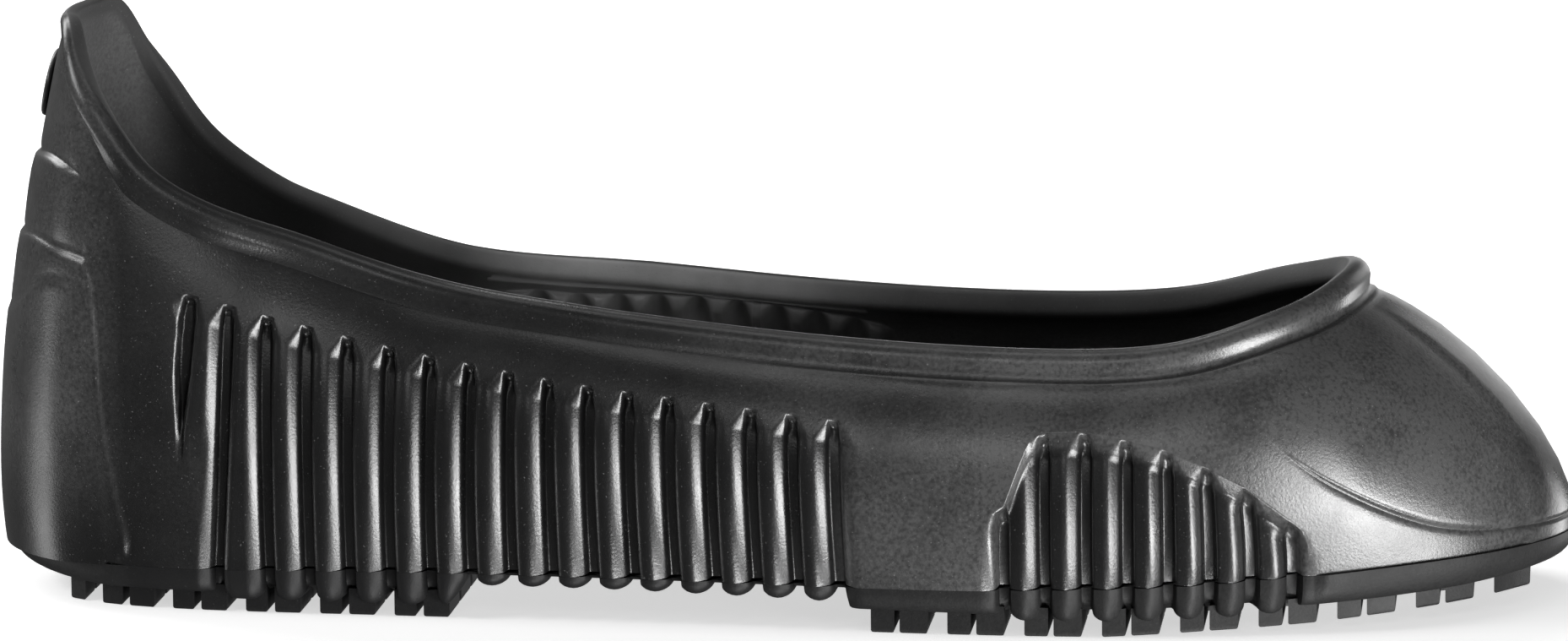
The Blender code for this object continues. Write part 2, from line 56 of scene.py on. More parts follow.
# Sections round one half of the shoe, from the middle of the heel to the middle of the toe.
SECTION_COLUMNS = ("x_base", "half_base", "z_base", "x_top", "half_top", "z_top",
                   "rise_low", "out_low", "drop_high", "out_high")
SECTIONS = (
    (-143.6, 0.0, 8.3, -131.5, 0.0, 105.4, 28.0, 3.2, 20.0, 5.6),
    (-140.8, 12.5, 8.2, -130.4, 11.6, 105.3, 28.0, 3.0, 20.0, 5.6),
    (-133.2, 23.5, 8.2, -127.5, 21.0, 103.4, 28.0, 2.8, 20.0, 5.6),
    (-124.6, 29.2, 8.1, -123.9, 27.6, 94.2, 27.0, 2.6, 20.0, 5.8),
    (-118.4, 31.7, 8.1, -119.2, 30.1, 86.2, 26.0, 2.6, 19.0, 6.4),
    (-113.0, 33.1, 8.1, -114.0, 30.9, 79.0, 25.0, 2.6, 18.0, 7.0),
    (-106.0, 34.3, 8.1, -105.0, 30.2, 72.2, 24.0, 2.6, 16.0, 8.0),
    (-90.0, 35.6, 8.3, -89.2, 26.4, 65.4, 20.0, 2.8, 12.5, 9.5),
    (-66.0, 36.8, 8.6, -65.5, 25.2, 57.4, 17.0, 3.0, 9.0, 11.5),
    (-38.0, 39.0, 8.7, -37.5, 30.0, 53.2, 16.0, 3.5, 7.0, 13.0),
    (-8.0, 42.5, 8.7, -7.6, 33.0, 50.0, 16.0, 4.2, 6.0, 14.0),
    (22.0, 46.0, 8.6, 22.2, 34.6, 47.5, 15.0, 3.5, 6.0, 14.0),
    (50.0, 48.3, 8.8, 50.0, 36.0, 46.4, 14.0, 3.0, 6.0, 14.0),
    (76.0, 47.3, 9.5, 73.5, 36.0, 47.6, 14.0, 2.5, 6.5, 14.0),
    (98.0, 42.3, 10.7, 88.0, 31.6, 51.4, 15.0, 2.0, 7.5, 15.0),
    (118.0, 33.8, 11.8, 97.0, 23.6, 54.2, 16.0, 1.2, 8.0, 17.0),
    (134.5, 20.5, 12.3, 102.0, 13.2, 56.4, 16.0, 0.6, 8.5, 18.5),
    (143.3, 0.0, 12.4, 104.0, 0.0, 57.4, 15.0, 0.3, 8.5, 19.5),
)

# Lines along the wall have rows of x_base and a share of the height, edges up the wall the other way round.
# Top of the counter, of the side folds and of the fore folds. It has no corners as far as the soft end.
FOLD_TOP = (
    (-144.0, 0.556), (-139.5, 0.56), (-131.5, 0.572), (-125.0, 0.614), (-121.5, 0.64), (-112.0, 0.70),
    (-104.5, 0.741), (-98.0, 0.741), (-91.0, 0.734), (-80.0, 0.734), (-66.0, 0.741), (-51.0, 0.734),
    (-36.0, 0.712), (0.0, 0.678), (16.0, 0.66), (40.0, 0.31), (44.0, 0.33), (48.5, 0.61), (51.0, 0.655),
    (57.0, 0.662), (64.0, 0.633), (72.0, 0.576), (79.0, 0.496), (87.0, 0.381), (94.5, 0.23), (97.5, 0.17),
    (100.0, 0.16), (106.6, 0.14), (113.0, 0.10), (120.0, 0.065), (127.0, 0.05), (134.0, 0.04), (144.0, 0.034),
)
SOFT_TOP_END_X = -108.0
LINE_REACH = 4.0
CAP_REACH = 3.0
SOFT_STEPS = 7

# Lower edge of the toe cap.
CAP_LINE = ((91.0, 0.58), (95.6, 0.489), (100.0, 0.388), (106.6, 0.281), (113.0, 0.194), (120.0, 0.122),
            (127.0, 0.085), (134.0, 0.07), (144.0, 0.06))

# Line between the two upper bands of rows: under the heel tab, above the folds, then along the toe cap.
MID_LINE = ((-144.0, 0.695), (-139.5, 0.703), (-133.0, 0.718), (-128.0, 0.757), (-122.5, 0.815),
            (-66.0, 0.81), (0.0, 0.76), (16.0, 0.74), (40.0, 0.62), (51.0, 0.74), (64.0, 0.72), (79.0, 0.63))

# Underside of the plate, bottom of the tread blocks and drop of the rounded fold ends along the shoe.
SOLE_COLUMNS = ("x", "z_plate", "z_lug", "end_drop")
SOLE_LINE = (
    (-146.0, 5.0, 1.4, 0.0), (-132.0, 4.2, 0.2, 0.0), (-122.0, 3.8, 0.0, 1.0), (-58.0, 3.6, 0.0, 1.2),
    (-54.0, 8.2, 1.6, 1.8), (-26.0, 8.3, 2.0, 1.9), (0.0, 8.2, 1.6, 2.1), (14.8, 8.1, 0.0, 2.5),
    (15.8, 4.5, 0.0, 1.2), (62.0, 3.9, 0.0, 1.0), (80.0, 4.3, 0.9, 1.0), (98.0, 5.1, 1.6, 1.0),
    (112.0, 5.7, 2.5, 0.6), (126.0, 6.4, 3.4, 0.0), (146.0, 8.0, 4.6, 0.0),
)

# Collar bead, thinner along the top of the heel tab.
BEAD_RADIUS = 2.85
BEAD_SHIFT = 0.85
TAB_RADIUS = 1.2
TAB_SHIFT = -1.0
TAB_BEAD_SHARE = 0.2
TAB_BACK_X = -131.5
TAB_BEAD_RUN = 10.0
BEAD_ROWS = 12
BEAD_TURN_DEG = 132.0
BEAD_END_DEG = (150.0, 167.0, 182.0)
RIM_SQUARE = 0.5
# Thin lip on the wall under the bead, growing from the middle of the shoe towards the toe.
LIP_RAISE = 0.4
LIP_GROOVE = 0.3
LIP_BELOW = 0.95
LIP_HALF = 0.4
LIP_FROM_X = -10.0
LIP_FULL_X = 40.0
# Steps and waves fade over this distance under the bead.
BEAD_CLEAR = 5.0
COVE_COLUMNS = ("x_top", "start_deg", "reach")
COVE = ((-128.0, -50.0, 1.8), (-116.0, -56.0, 4.4), (-60.0, -60.0, 4.2), (0.0, -74.0, 3.7),
        (40.0, -82.0, 3.45))

# Bellows folds: each rib has a wide round flank towards the toe and a tight edge towards the heel.
FOLD_DEPTH = 2.8
SIDE_FOLDS = 17
SIDE_FOLD_FIRST_X = -105.6
SIDE_FOLD_PITCH = 7.475
# The first fold is short: it opens over a run above a share of the height, narrower at its lower end.
SHORT_FOLD_FROM = 0.43
SHORT_FOLD_RUN = 0.25
SHORT_NARROWING = 0.85
SHORT_OPENING = 0.1
FIRST_FLANK_SHARE = 0.25
# The first two folds lean towards the heel lower down: offset at the top and run over the height.
LEANING_FOLDS = 2
FIRST_FOLD_LEAN = (1.1, 3.2)
SECOND_FOLD_LEAN = (0.1, 2.2)
LEANING_FROM_X = -109.6
FORE_FOLDS = 8
FORE_FOLD_FIRST_X = 43.6
FORE_FOLD_PITCH = 7.4
FORE_END_FLANK_SHARE = 0.5
FIELD_SPLIT_X = 30.0
FLANK_SLOPE = 0.74
FLANK_EASE = 0.6
FLANK_REACH = 2.45
SIDE_OPENING = 0.2
# Heel side of a rib: start from the crown, reach, slope and ease, on the side and on the forefoot.
SIDE_BACK = (1.2, 1.25, 0.6, 0.25)
FORE_BACK = (0.0, 2.45, 0.42, 0.4)
SLOT_FROM = 2.4
SLOT_RUN = 0.45
SLOT_TIP = 0.35
TIP_RUN = 4.2
TIP_FADE = 0.8

# Facet beside the first fold: its heel-side border up the wall.
FACET_BORDER = ((0.0, -101.8), (0.255, -104.5), (0.44, -106.3), (0.7, -106.9), (1.0, -107.4))
FACET_SPLIT = 0.44
FACET_DEPTH = 0.8
FACET_FOOT_X = -99.0
FACET_LEAST_RUN = 0.2
FACET_FADE = 0.06
# Facets below the sharp top edge of the fore field.
PANEL_DEPTH = 1.3
PANEL_RUN = 3.0
PANEL_LEFT = 0.3
PANEL_FROM_X = 41.5
PANEL_TO_X = 97.6
PANEL_EASE = 1.5
PANEL_FULL_SHARE = 0.8

# Raised counter. Its side edge up the wall has a rounded corner at foot and top.
COUNTER_RAISE = 0.8
COUNTER_RUN = 0.9
COUNTER_FOOT_X = -119.0
COUNTER_FOOT_FADE = 4.0
COUNTER_SIDE = ((0.0, -121.5), (0.012, -119.1), (0.03, -117.2), (0.05, -116.5), (0.147, -118.0),
                (0.282, -119.4), (0.39, -120.1), (0.533, -120.4), (0.6, -120.9), (0.64, -122.6))
# Crease across the counter.
CREASE_LINE = ((-144.0, 0.42), (-138.7, 0.448), (-134.5, 0.486), (-131.3, 0.521), (-128.5, 0.538),
               (-124.8, 0.564), (-121.5, 0.579))
CREASE_RAISE = 0.45
CREASE_GROOVE = 0.2
CREASE_RUN = 1.6
CREASE_END_X = -121.0
CREASE_FADE = 4.0
# Ledge under the heel tab.
LEDGE_RAISE = 1.0
LEDGE_FADE_X = -131.0
LEDGE_FADE = 9.0
# Upper edge of a heel step: a groove, a sharp part of its height, then a rounded shoulder below.
SHOULDER_EDGE = 0.8
SHOULDER_SHARE = 0.55
SHOULDER_RUN = 5.0
SHOULDER_GROOVE = 0.35
SHOULDER_GROOVE_HALF = 0.7
# Toe cap, with a groove along its lower edge, and the strip along the toe, wider at its foot.
CAP_RAISE = 0.6
CAP_EDGE = 0.7
CAP_TOP_FADE = 1.2
CAP_GROOVE = 0.4
CAP_GROOVE_HALF = 0.55
CAP_START_X = 92.5
CAP_FADE = 16.0
STRIP_RAISE = 0.6
STRIP_EDGE_X = 138.5
STRIP_BOW = 1.2
STRIP_FLARE = 3.5
STRIP_FLARE_SHARE = 0.2
STRIP_RUN = 1.4
STRIP_TOP_FADE = 0.35

# Slow waves of the moulded wall: height, run along x and run along z.
WAVES = ((0.10, 17.0, 23.0), (0.08, -31.0, 9.0), (0.05, 7.0, 5.0))

# Top of the round knobs behind the folds: a share of the fold tops, and an arched line on the far side.
NEAR_KNOB_TOP = 1.1
LEAST_KNOB_TOP = 0.4
FAR_KNOB_TOP = ((-64.0, 0.80), (-57.0, 0.89), (-50.0, 0.925), (-42.6, 0.91), (-35.0, 0.925), (-28.0, 0.95),
                (-20.0, 0.985), (-13.0, 0.99), (-6.0, 0.975), (1.0, 0.95), (8.6, 0.91), (15.0, 0.855),
                (22.0, 0.7))
KNOB_ROUND = 3.2
KNOB_HALF_WIDTH = 3.2
KNOB_POWER = 1.5
KNOB_FOOT_SHARE = 0.5
# Share of a knob's crest above which it is rubbed, and how much of the matt finish is rubbed off.
KNOB_RUB_FROM = 0.55
KNOB_RUB = 0.7
# The inner half of the rim is matt like the inside, from this row of the bead on, and darker with little of
# the pale film left: painted shade.
MATT_BEAD_ROW = 7
RIM_SHADE_FILM_SHARE = 0.2
# Share of talc left on the inside along the shoe.
TALC = ((-144.0, 0.03), (-110.0, 0.06), (-90.0, 0.08), (-64.0, 0.3), (-45.0, 0.9), (-20.0, 1.0), (0.0, 0.5),
        (20.0, 0.12))
# Painted shade: the pale film is mostly taken away between the folds and low on the heel, so these are
# darker, darker towards the bottom on the heel.
FOLD_SHADE = 0.95
FOLD_SHADE_RUN = 4.0
LOW_HEEL_SHADE_X = -100.0
LOW_HEEL_SHADE_RUN = 20.0
LOW_HEEL_SHADE_SHARE = 0.3
LOW_HEEL_SHADE_FADE = 0.25

# Outsole plate: floor inside, land under the upper, side band with rounded fold ends, and underside.
FLOOR_RISE = 1.6
FLOOR_CLEAR = 0.5
EDGE_INSET = 2.0
HEEL_EDGE_INSET = 2.0
HEEL_EDGE_X = -120.0
HEEL_EDGE_RUN = 20.0
UNDER_INSET = 3.4
TOE_BUMPER = 1.0
TOE_BUMPER_START_X = 99.0
TOE_BUMPER_RUN = 1.2
BAND_FOLLOW = 0.6
BAND_FLAT = 0.45
BAND_LEAST = 0.5
BAND_TURNS_DEG = np.linspace(10.0, 90.0, 9)
PLATE_LEAST = 0.1
END_LEAST = 0.2
END_HALF = 2.9
END_RISE = 1.2
END_RISE_RUN = 3.0
FLOOR_SHARES = (0.0, 0.3, 0.6, 0.85, 1.0)
UNDER_SHARES = (1.0, 0.8, 0.5, 0.25, 0.0)
OUTSOLE_SHARP_DEG = 42.0

# Tread blocks: five across the sole in each row, between two shares of the half width, some split.
LUG_INSET = 1.2
LUG_BURY = 1.2
LUG_ROW = 10.2
LUG_ROW_PITCH = 13.8
LUG_SMALL = 4.0
LUG_NOTCH = 1.4
FORE_SLOT_SHARE = 0.7
HEEL_LUG_FIRST_X = -136.7
HEEL_LUG_ROWS = 6
FORE_LUG_FIRST_X = 19.7
FORE_LUG_ROWS = 9
LUG_BACK_X = -129.5
LUG_FRONT_X = 136.5
LUG_BLOCKS = ((-1.0, -0.64, True), (-0.57, -0.23, False), (-0.16, 0.16, False), (0.23, 0.57, False),
              (0.64, 1.0, True))
LUG_EDGE = 0.45
LUG_EASE = 0.3 * LUG_EDGE
# Rings of a block from its root down: inset, the sole's line that it follows and its rise above that.
LUG_LEVELS = ((0.0, "z_plate", LUG_BURY), (0.0, "z_lug", 2.0 * LUG_EDGE), (0.0, "z_lug", LUG_EDGE),
              (LUG_EASE, "z_lug", LUG_EASE), (LUG_EDGE, "z_lug", 0.0))
LUG_CORNERS = 4

# Heel oval: rings given by their size and their lift off the wall, with a low rim round a dome.
OVAL_HALF_WIDTH = 8.0
OVAL_HALF_HEIGHT = 6.2
OVAL_THICK = 1.6
OVAL_Z = 92.3
OVAL_GAP = 0.4
OVAL_SPOKES = 48
OVAL_PROFILE = (
    (0.02, OVAL_GAP), (0.5, OVAL_GAP), (0.97, OVAL_GAP), (1.0, 0.75), (0.985, 1.05), (0.94, 1.25),
    (0.86, 1.33), (0.82, 1.22), (0.78, 1.2), (0.6, 1.42), (0.3, OVAL_THICK), (0.02, OVAL_THICK),
)

# Columns of the mesh round the half seam: places beside each fold, then even runs between them.
FOLD_OFFSETS = (-3.7, -3.0, -2.4, -1.9, -1.45, -1.14, -0.9, -0.64, 0.64, 0.9, 1.14, 1.4, 1.75, 2.2, 2.95)
BACK_END_X = -123.0
BACK_COLUMNS = 36
COUNTER_FROM_X = -122.7
COUNTER_TO_X = -115.2
COUNTER_COLUMNS = 24
PLAIN_FROM_X = -114.4
PLAIN_GAP = 0.6
PLAIN_COLUMNS = 6
LEANING_GAP = 0.4
LEANING_COLUMNS = 46
MIDDLE_GAP = 0.7
MIDDLE_COLUMNS = 18
TOE_GAP = 0.6
TOE_COLUMNS = 60

# Rows of the outer face: below the feature line, up to the middle line, then up to the bead.
BELOW_ROWS = np.concatenate([[0.0, 0.002, 0.024, 0.045, 0.075], np.linspace(0.13, 0.75, 11),
                             np.linspace(0.78, 0.96, 13), [0.975, 0.988, 1.0]])
MIDDLE_ROWS = np.array([0.035, 0.12, 0.32, 0.55, 0.76, 0.89, 0.955, 1.0])
ABOVE_ROWS = np.array([0.012, 0.028, 0.05, 0.1, 0.19, 0.32, 0.47, 0.62, 0.75, 0.85, 0.91, 0.945, 0.97,
                       0.985, 1.0])
# Inner rows: between the collar and the knobs' tops, over their round tops, then down to the seam.
INNER_ABOVE_ROWS = np.array([0.9, 0.6, 0.35, 0.15, 0.05])
KNOB_ROWS = np.array([0.0, 0.02, 0.08, 0.18, 0.32, 0.5, 0.75, 1.0])
INNER_BELOW_ROWS = np.linspace(0.9, 0.0, 10)

NORMAL_STEP = 0.5
SHARE_STEP = 0.01
FINE_STEPS = 4000
CHORDS = 16
WELD_DISTANCE = 1e-6
MIRRORED = 3
ODD_COLUMNS = ("half_base", "half_top")


def smooth(x):
    """Soft step: 3t^2 - 2t^3 of x held between 0 and 1."""
    t = np.clip(x, 0.0, 1.0)
    return t * t * (3.0 - 2.0 * t)


def blend(low, high, share):
    """Straight mix of two values."""
    return low + (high - low) * share


def spline(knots, values, at):
    """Natural cubic curve through the rows of a table: the bends at the knots solve a three-band system."""
    count = len(knots)
    gaps = np.diff(knots)
    slopes = (values[1:] - values[:-1]) / gaps[:, None]
    system = np.eye(count)
    inner = np.arange(1, count - 1)
    system[inner, inner - 1] = gaps[:-1]
    system[inner, inner] = 2.0 * (gaps[:-1] + gaps[1:])
    system[inner, inner + 1] = gaps[1:]
    right = np.zeros_like(values)
    right[1:-1] = 6.0 * (slopes[1:] - slopes[:-1])
    bends = np.linalg.solve(system, right)
    index = np.clip(np.searchsorted(knots, at) - 1, 0, count - 2)
    left = (at - knots[index])[:, None]
    span = gaps[index][:, None]
    rest = span - left
    return (bends[index] * rest**3 + bends[index + 1] * left**3) / (6.0 * span) \
        + (values[index] / span - bends[index] * span / 6.0) * rest \
        + (values[index + 1] / span - bends[index + 1] * span / 6.0) * left


def section_knots():
    """Length round the sole seam at each section, with three sections mirrored past each end."""
    table = np.array(SECTIONS)
    odd = [SECTION_COLUMNS.index(name) for name in ODD_COLUMNS]
    steps = np.hypot(np.diff(table[:, 0]), np.diff(table[:, 1]))
    knots = np.concatenate([[0.0], np.cumsum(steps)])
    before = table[MIRRORED:0:-1].copy()
    after = table[-2:-2 - MIRRORED:-1].copy()
    before[:, odd] *= -1.0
    after[:, odd] *= -1.0
    knots_before = -knots[MIRRORED:0:-1]
    knots_after = 2.0 * knots[-1] - knots[-2:-2 - MIRRORED:-1]
    return np.concatenate([knots_before, knots, knots_after]), np.vstack([before, table, after]), knots[-1]


KNOTS, ROWS, HALF_ROUND = section_knots()


def sections(around):
    """All section columns at lengths round the half seam, by name."""
    values = spline(KNOTS, ROWS, np.asarray(around, float))
    return {name: values[:, i] for i, name in enumerate(SECTION_COLUMNS)}


def around_at(x_base):
    """Length round the half seam at these lengthwise positions."""
    dense = np.linspace(0.0, HALF_ROUND, FINE_STEPS)
    return np.interp(x_base, sections(dense)["x_base"], dense)


def table_at(table, x, place=1):
    """Straight interpolation in one column of a table against its first column."""
    rows = np.array(table)
    return np.interp(x, rows[:, 0], rows[:, place])


def sole_line(x, name):
    """A column of the sole's table at these lengthwise positions."""
    return table_at(SOLE_LINE, x, SOLE_COLUMNS.index(name))


def placed(points):
    """Points bent to the last's curve (y gains a square of x), collar leaning, then set on the origin."""
    bent = points.copy()
    lean = table_at(COLLAR_LEAN, points[..., 0])
    high = np.clip((points[..., 2] - LEAN_FROM_Z) / (LEAN_FULL_Z - LEAN_FROM_Z), 0.0, 1.0)
    bent[..., 2] -= lean * points[..., 1] * high
    bent[..., 1] += CURVE_OF_LAST * ((points[..., 0] / HALF_LENGTH) ** 2 - CURVE_SHARE)
    return bent + STAND


def seam_normals(around):
    """Outward direction in plan of the half seam, from the difference of two points beside each place."""
    ahead = sections(around + NORMAL_STEP)
    behind = sections(around - NORMAL_STEP)
    dx = ahead["x_base"] - behind["x_base"]
    dy = ahead["half_base"] - behind["half_base"]
    size = np.hypot(dx, dy)
    return -dy / size, dx / size


def wall(around, share):
    """Plain outer face: cubic section from seam to collar at a grid of shares (rows by columns)."""
    s = sections(around)
    nx, ny = seam_normals(around)
    low = np.stack([s["x_base"], s["half_base"], s["z_base"]], -1)
    high = np.stack([s["x_top"], s["half_top"], s["z_top"]], -1)
    out = np.stack([nx, ny, np.zeros_like(nx)], -1)
    up = np.array([0.0, 0.0, 1.0])
    handle_low = low + out * s["out_low"][:, None] + up * s["rise_low"][:, None]
    handle_high = high + out * s["out_high"][:, None] - up * s["drop_high"][:, None]
    t = np.atleast_2d(share)[..., None]
    r = 1.0 - t
    return r**3 * low + 3.0 * r * r * t * handle_low + 3.0 * r * t * t * handle_high + t**3 * high


def wall_frame(around, share):
    """Outer face with its outward normal, the cross product of its upward and its lengthwise direction."""
    share = np.atleast_2d(share)
    here = wall(around, share)
    above = np.minimum(share + SHARE_STEP, 1.0)
    up = wall(around, above) - wall(around, above - SHARE_STEP)
    along = wall(around + NORMAL_STEP, share) - wall(around - NORMAL_STEP, share)
    normal = np.cross(up, along)
    normal /= np.linalg.norm(normal, axis=-1)[..., None]
    up /= np.linalg.norm(up, axis=-1)[..., None]
    return here, normal, up


def half_columns():
    """Lengths round the half seam of the columns: closer beside each fold, even elsewhere."""
    offsets = np.array(FOLD_OFFSETS)
    upright = np.arange(LEANING_FOLDS, SIDE_FOLDS)[:, None]
    side = (SIDE_FOLD_FIRST_X + SIDE_FOLD_PITCH * upright + offsets).ravel()
    fore = (FORE_FOLD_FIRST_X + FORE_FOLD_PITCH * np.arange(FORE_FOLDS)[:, None] + offsets).ravel()
    back = np.linspace(0.0, around_at(BACK_END_X), BACK_COLUMNS)
    counter = np.linspace(COUNTER_FROM_X, COUNTER_TO_X, COUNTER_COLUMNS)
    plain = np.linspace(PLAIN_FROM_X, LEANING_FROM_X - PLAIN_GAP, PLAIN_COLUMNS)
    leaning = np.linspace(LEANING_FROM_X, side[0] - LEANING_GAP, LEANING_COLUMNS)
    middle = np.linspace(side[-1] + MIDDLE_GAP, fore[0] - MIDDLE_GAP, MIDDLE_COLUMNS)
    toe = np.linspace(around_at(fore[-1] + TOE_GAP), HALF_ROUND, TOE_COLUMNS)
    along = np.concatenate([counter, plain, leaning, side, middle, fore])
    return np.concatenate([back, around_at(along), toe])


AROUND = half_columns()
X_BASE = sections(AROUND)["x_base"]
X_TOP = sections(AROUND)["x_top"]


def soft_line(line, reach):
    """Mean of several straight interpolations spread round the half seam, so that a line has no corners."""
    shifted = [np.abs(AROUND + reach * step) for step in np.linspace(-1.0, 1.0, SOFT_STEPS)]
    places = [sections(np.minimum(at, HALF_ROUND))["x_base"] for at in shifted]
    return np.mean([table_at(line, x) for x in places], axis=0)


TOP = np.where(X_BASE < SOFT_TOP_END_X, soft_line(FOLD_TOP, LINE_REACH), table_at(FOLD_TOP, X_BASE))
MID = soft_line(MID_LINE + CAP_LINE, LINE_REACH)


def section_length():
    """Length of each section from seam to collar, as the sum of its chords."""
    points = wall(AROUND, np.linspace(0.0, 1.0, CHORDS + 1)[:, None] * np.ones_like(AROUND))
    return np.linalg.norm(np.diff(points, axis=0), axis=-1).sum(axis=0)


LENGTH = section_length()


def nearest_fold(x, first, pitch, count):
    """Signed distance to the nearest fold of a row, and that fold's number."""
    number = np.clip(np.round((x - first) / pitch), 0, count - 1)
    return x - (first + pitch * number), number


def side_fold(t):
    """Signed distance to the nearest side fold and its number; the first two lean as t falls below 1."""
    _, number = nearest_fold(X_BASE, SIDE_FOLD_FIRST_X, SIDE_FOLD_PITCH, SIDE_FOLDS)
    down = np.clip(1.0 - t, 0.0, 1.0)
    first = FIRST_FOLD_LEAN[0] - FIRST_FOLD_LEAN[1] * down
    second = SECOND_FOLD_LEAN[0] - SECOND_FOLD_LEAN[1] * down**2
    border = SIDE_FOLD_FIRST_X + 0.5 * SIDE_FOLD_PITCH + second
    number = np.where(number > 1, number, np.where(X_BASE > border, 1, 0))
    lean = np.where(number == 0, first, np.where(number == 1, second, 0.0))
    return X_BASE - (SIDE_FOLD_FIRST_X + SIDE_FOLD_PITCH * number) - lean, number


def fore_fold():
    """Signed distance to the nearest fold of the forefoot and its number."""
    return nearest_fold(X_BASE, FORE_FOLD_FIRST_X, FORE_FOLD_PITCH, FORE_FOLDS)


def short_share(t, number):
    """Share by which the short first fold is open at these heights; 1 for all the other folds."""
    return np.where(number == 0, np.clip((t - SHORT_FOLD_FROM) / SHORT_FOLD_RUN, 0.0, 1.0), 1.0)


def eased_slope(run, reach, slope, ease):
    """Drop of a side that leaves the crown level and settles to a slope: slope (r - e + e exp(-r / e))."""
    held = np.clip(run, 0.0, reach)
    return slope * (held - ease * (1.0 - np.exp(-held / ease)))


def rib(distance, pitch, opened, narrowed, back, wide_edge):
    """Press of one rib and slot: sloped sides that shrink towards the tip, then a steep slot wall."""
    crown = 0.5 * pitch - np.abs(distance)
    flank = eased_slope(crown - FLANK_REACH * (1.0 - opened), FLANK_REACH, FLANK_SLOPE, FLANK_EASE)
    start, reach, slope, ease = back
    edge = eased_slope(crown - start - reach * (1.0 - opened), reach, slope, ease)
    side = np.where((distance < 0.0) | wide_edge, flank, edge) * smooth(opened / SIDE_OPENING)
    slot = smooth((crown - SLOT_FROM - SLOT_TIP * (1.0 - opened) - narrowed) / SLOT_RUN)
    return side, slot


def fold_press(t):
    """Depth of the bellows folds at a grid of shares t of the height below the feature line."""
    below = (1.0 - t) * TOP * LENGTH
    opened = np.clip(below / TIP_RUN, 0.0, 1.0)
    depth = FOLD_DEPTH * smooth(below / TIP_FADE)
    side, number = side_fold(t)
    short = short_share(t, number)
    last = (number == SIDE_FOLDS - 1) & (side > 0.0)
    narrowed = SHORT_NARROWING * (1.0 - short)
    arc, slot = rib(side, SIDE_FOLD_PITCH, opened * short, narrowed, SIDE_BACK, last)
    slot = slot * smooth(short / SHORT_OPENING)
    arc = np.where((number == 0) & (side < 0.0), FIRST_FLANK_SHARE * arc, arc)
    pressed = blend(arc, depth, slot)
    fore, fore_number = fore_fold()
    arc, slot = rib(fore, FORE_FOLD_PITCH, opened, 0.0, FORE_BACK, np.zeros_like(fore, bool))
    outside = (fore < 0.0) & (fore_number == 0) | (fore > 0.0) & (fore_number == FORE_FOLDS - 1)
    arc = np.where(outside, FORE_END_FLANK_SHARE * arc, arc)
    pressed_fore = blend(arc, depth, slot)
    return np.where(X_BASE < FIELD_SPLIT_X, np.maximum(pressed, facet_press(t)), pressed_fore)


def facet_press(t):
    """Flat facet that slopes in from its border to the first fold, a straight share of its depth."""
    border = table_at(FACET_BORDER, t)
    end = np.where(t > FACET_SPLIT, SIDE_FOLD_FIRST_X, FACET_FOOT_X)
    slope = (X_BASE - border) / np.maximum(end - border, FACET_LEAST_RUN)
    slope = np.where(slope < 1.0, np.clip(slope, 0.0, 1.0), 0.0)
    return FACET_DEPTH * slope * smooth((1.0 - t) / FACET_FADE)


def panel_press(t):
    """Facets below the sharp top edge of the fore field, easing back to the wall further down."""
    below = (1.0 - t) * TOP * LENGTH
    inside = smooth((X_BASE - PANEL_FROM_X) / PANEL_EASE) * smooth((PANEL_TO_X - X_BASE) / PANEL_EASE)
    left = blend(PANEL_LEFT, 1.0, smooth(t / PANEL_FULL_SHARE))
    return PANEL_DEPTH * inside * np.clip(below / PANEL_RUN, 0.0, 1.0) * left


def collar_frame(around):
    """Collar edge, its outward normal, the direction square to the edge and the cosine of its slope."""
    top = np.ones_like(around)
    here, normal, up = (grid[0] for grid in wall_frame(around, top))
    edge = (wall(around + NORMAL_STEP, top) - wall(around - NORMAL_STEP, top))[0]
    edge /= np.linalg.norm(edge, axis=1)[:, None]
    across = up - edge * np.sum(up * edge, axis=1)[:, None]
    cosine = np.linalg.norm(across, axis=1)
    return here, normal, across / cosine[:, None], cosine


def bead_share():
    """Size of the bead round the collar: thin along the top of the heel tab, full elsewhere."""
    return blend(TAB_BEAD_SHARE, 1.0, smooth((X_TOP - TAB_BACK_X) / TAB_BEAD_RUN))


def cove(name):
    """A column of the cove's table round the collar."""
    return table_at(COVE, X_TOP, COVE_COLUMNS.index(name))


def shoulder(below):
    """Step with a groove just above its line: a sharp rise, then an ease to full height, 1 - (1 - d)^2."""
    sharp = smooth(below / SHOULDER_EDGE + 0.5)
    eased = 1.0 - (1.0 - np.clip(below / SHOULDER_RUN, 0.0, 1.0)) ** 2
    groove = SHOULDER_GROOVE * np.exp(-(below / SHOULDER_GROOVE_HALF + 1.0) ** 2)
    return sharp * blend(SHOULDER_SHARE, 1.0, eased) - groove


def heel_steps(share):
    """Raised counter with its crease, and the ledge under the heel tab, each a step with a shoulder."""
    above = (share - TOP) * LENGTH
    edge = table_at(COUNTER_SIDE, share)
    counter = COUNTER_RAISE * smooth((edge - X_BASE) / COUNTER_RUN + 0.5) * shoulder(-above)
    over = (share - soft_line(CREASE_LINE, LINE_REACH)) * LENGTH / CREASE_RUN
    crease = CREASE_RAISE * smooth(0.5 - over) - CREASE_GROOVE * np.exp(-(2.0 * over) ** 2)
    crease = crease * smooth((CREASE_END_X - X_BASE) / CREASE_FADE)
    fade = 1.0 - smooth((X_BASE - LEDGE_FADE_X) / LEDGE_FADE)
    ledge = LEDGE_RAISE * fade * shoulder((MID - share) * LENGTH)
    return counter + crease + ledge


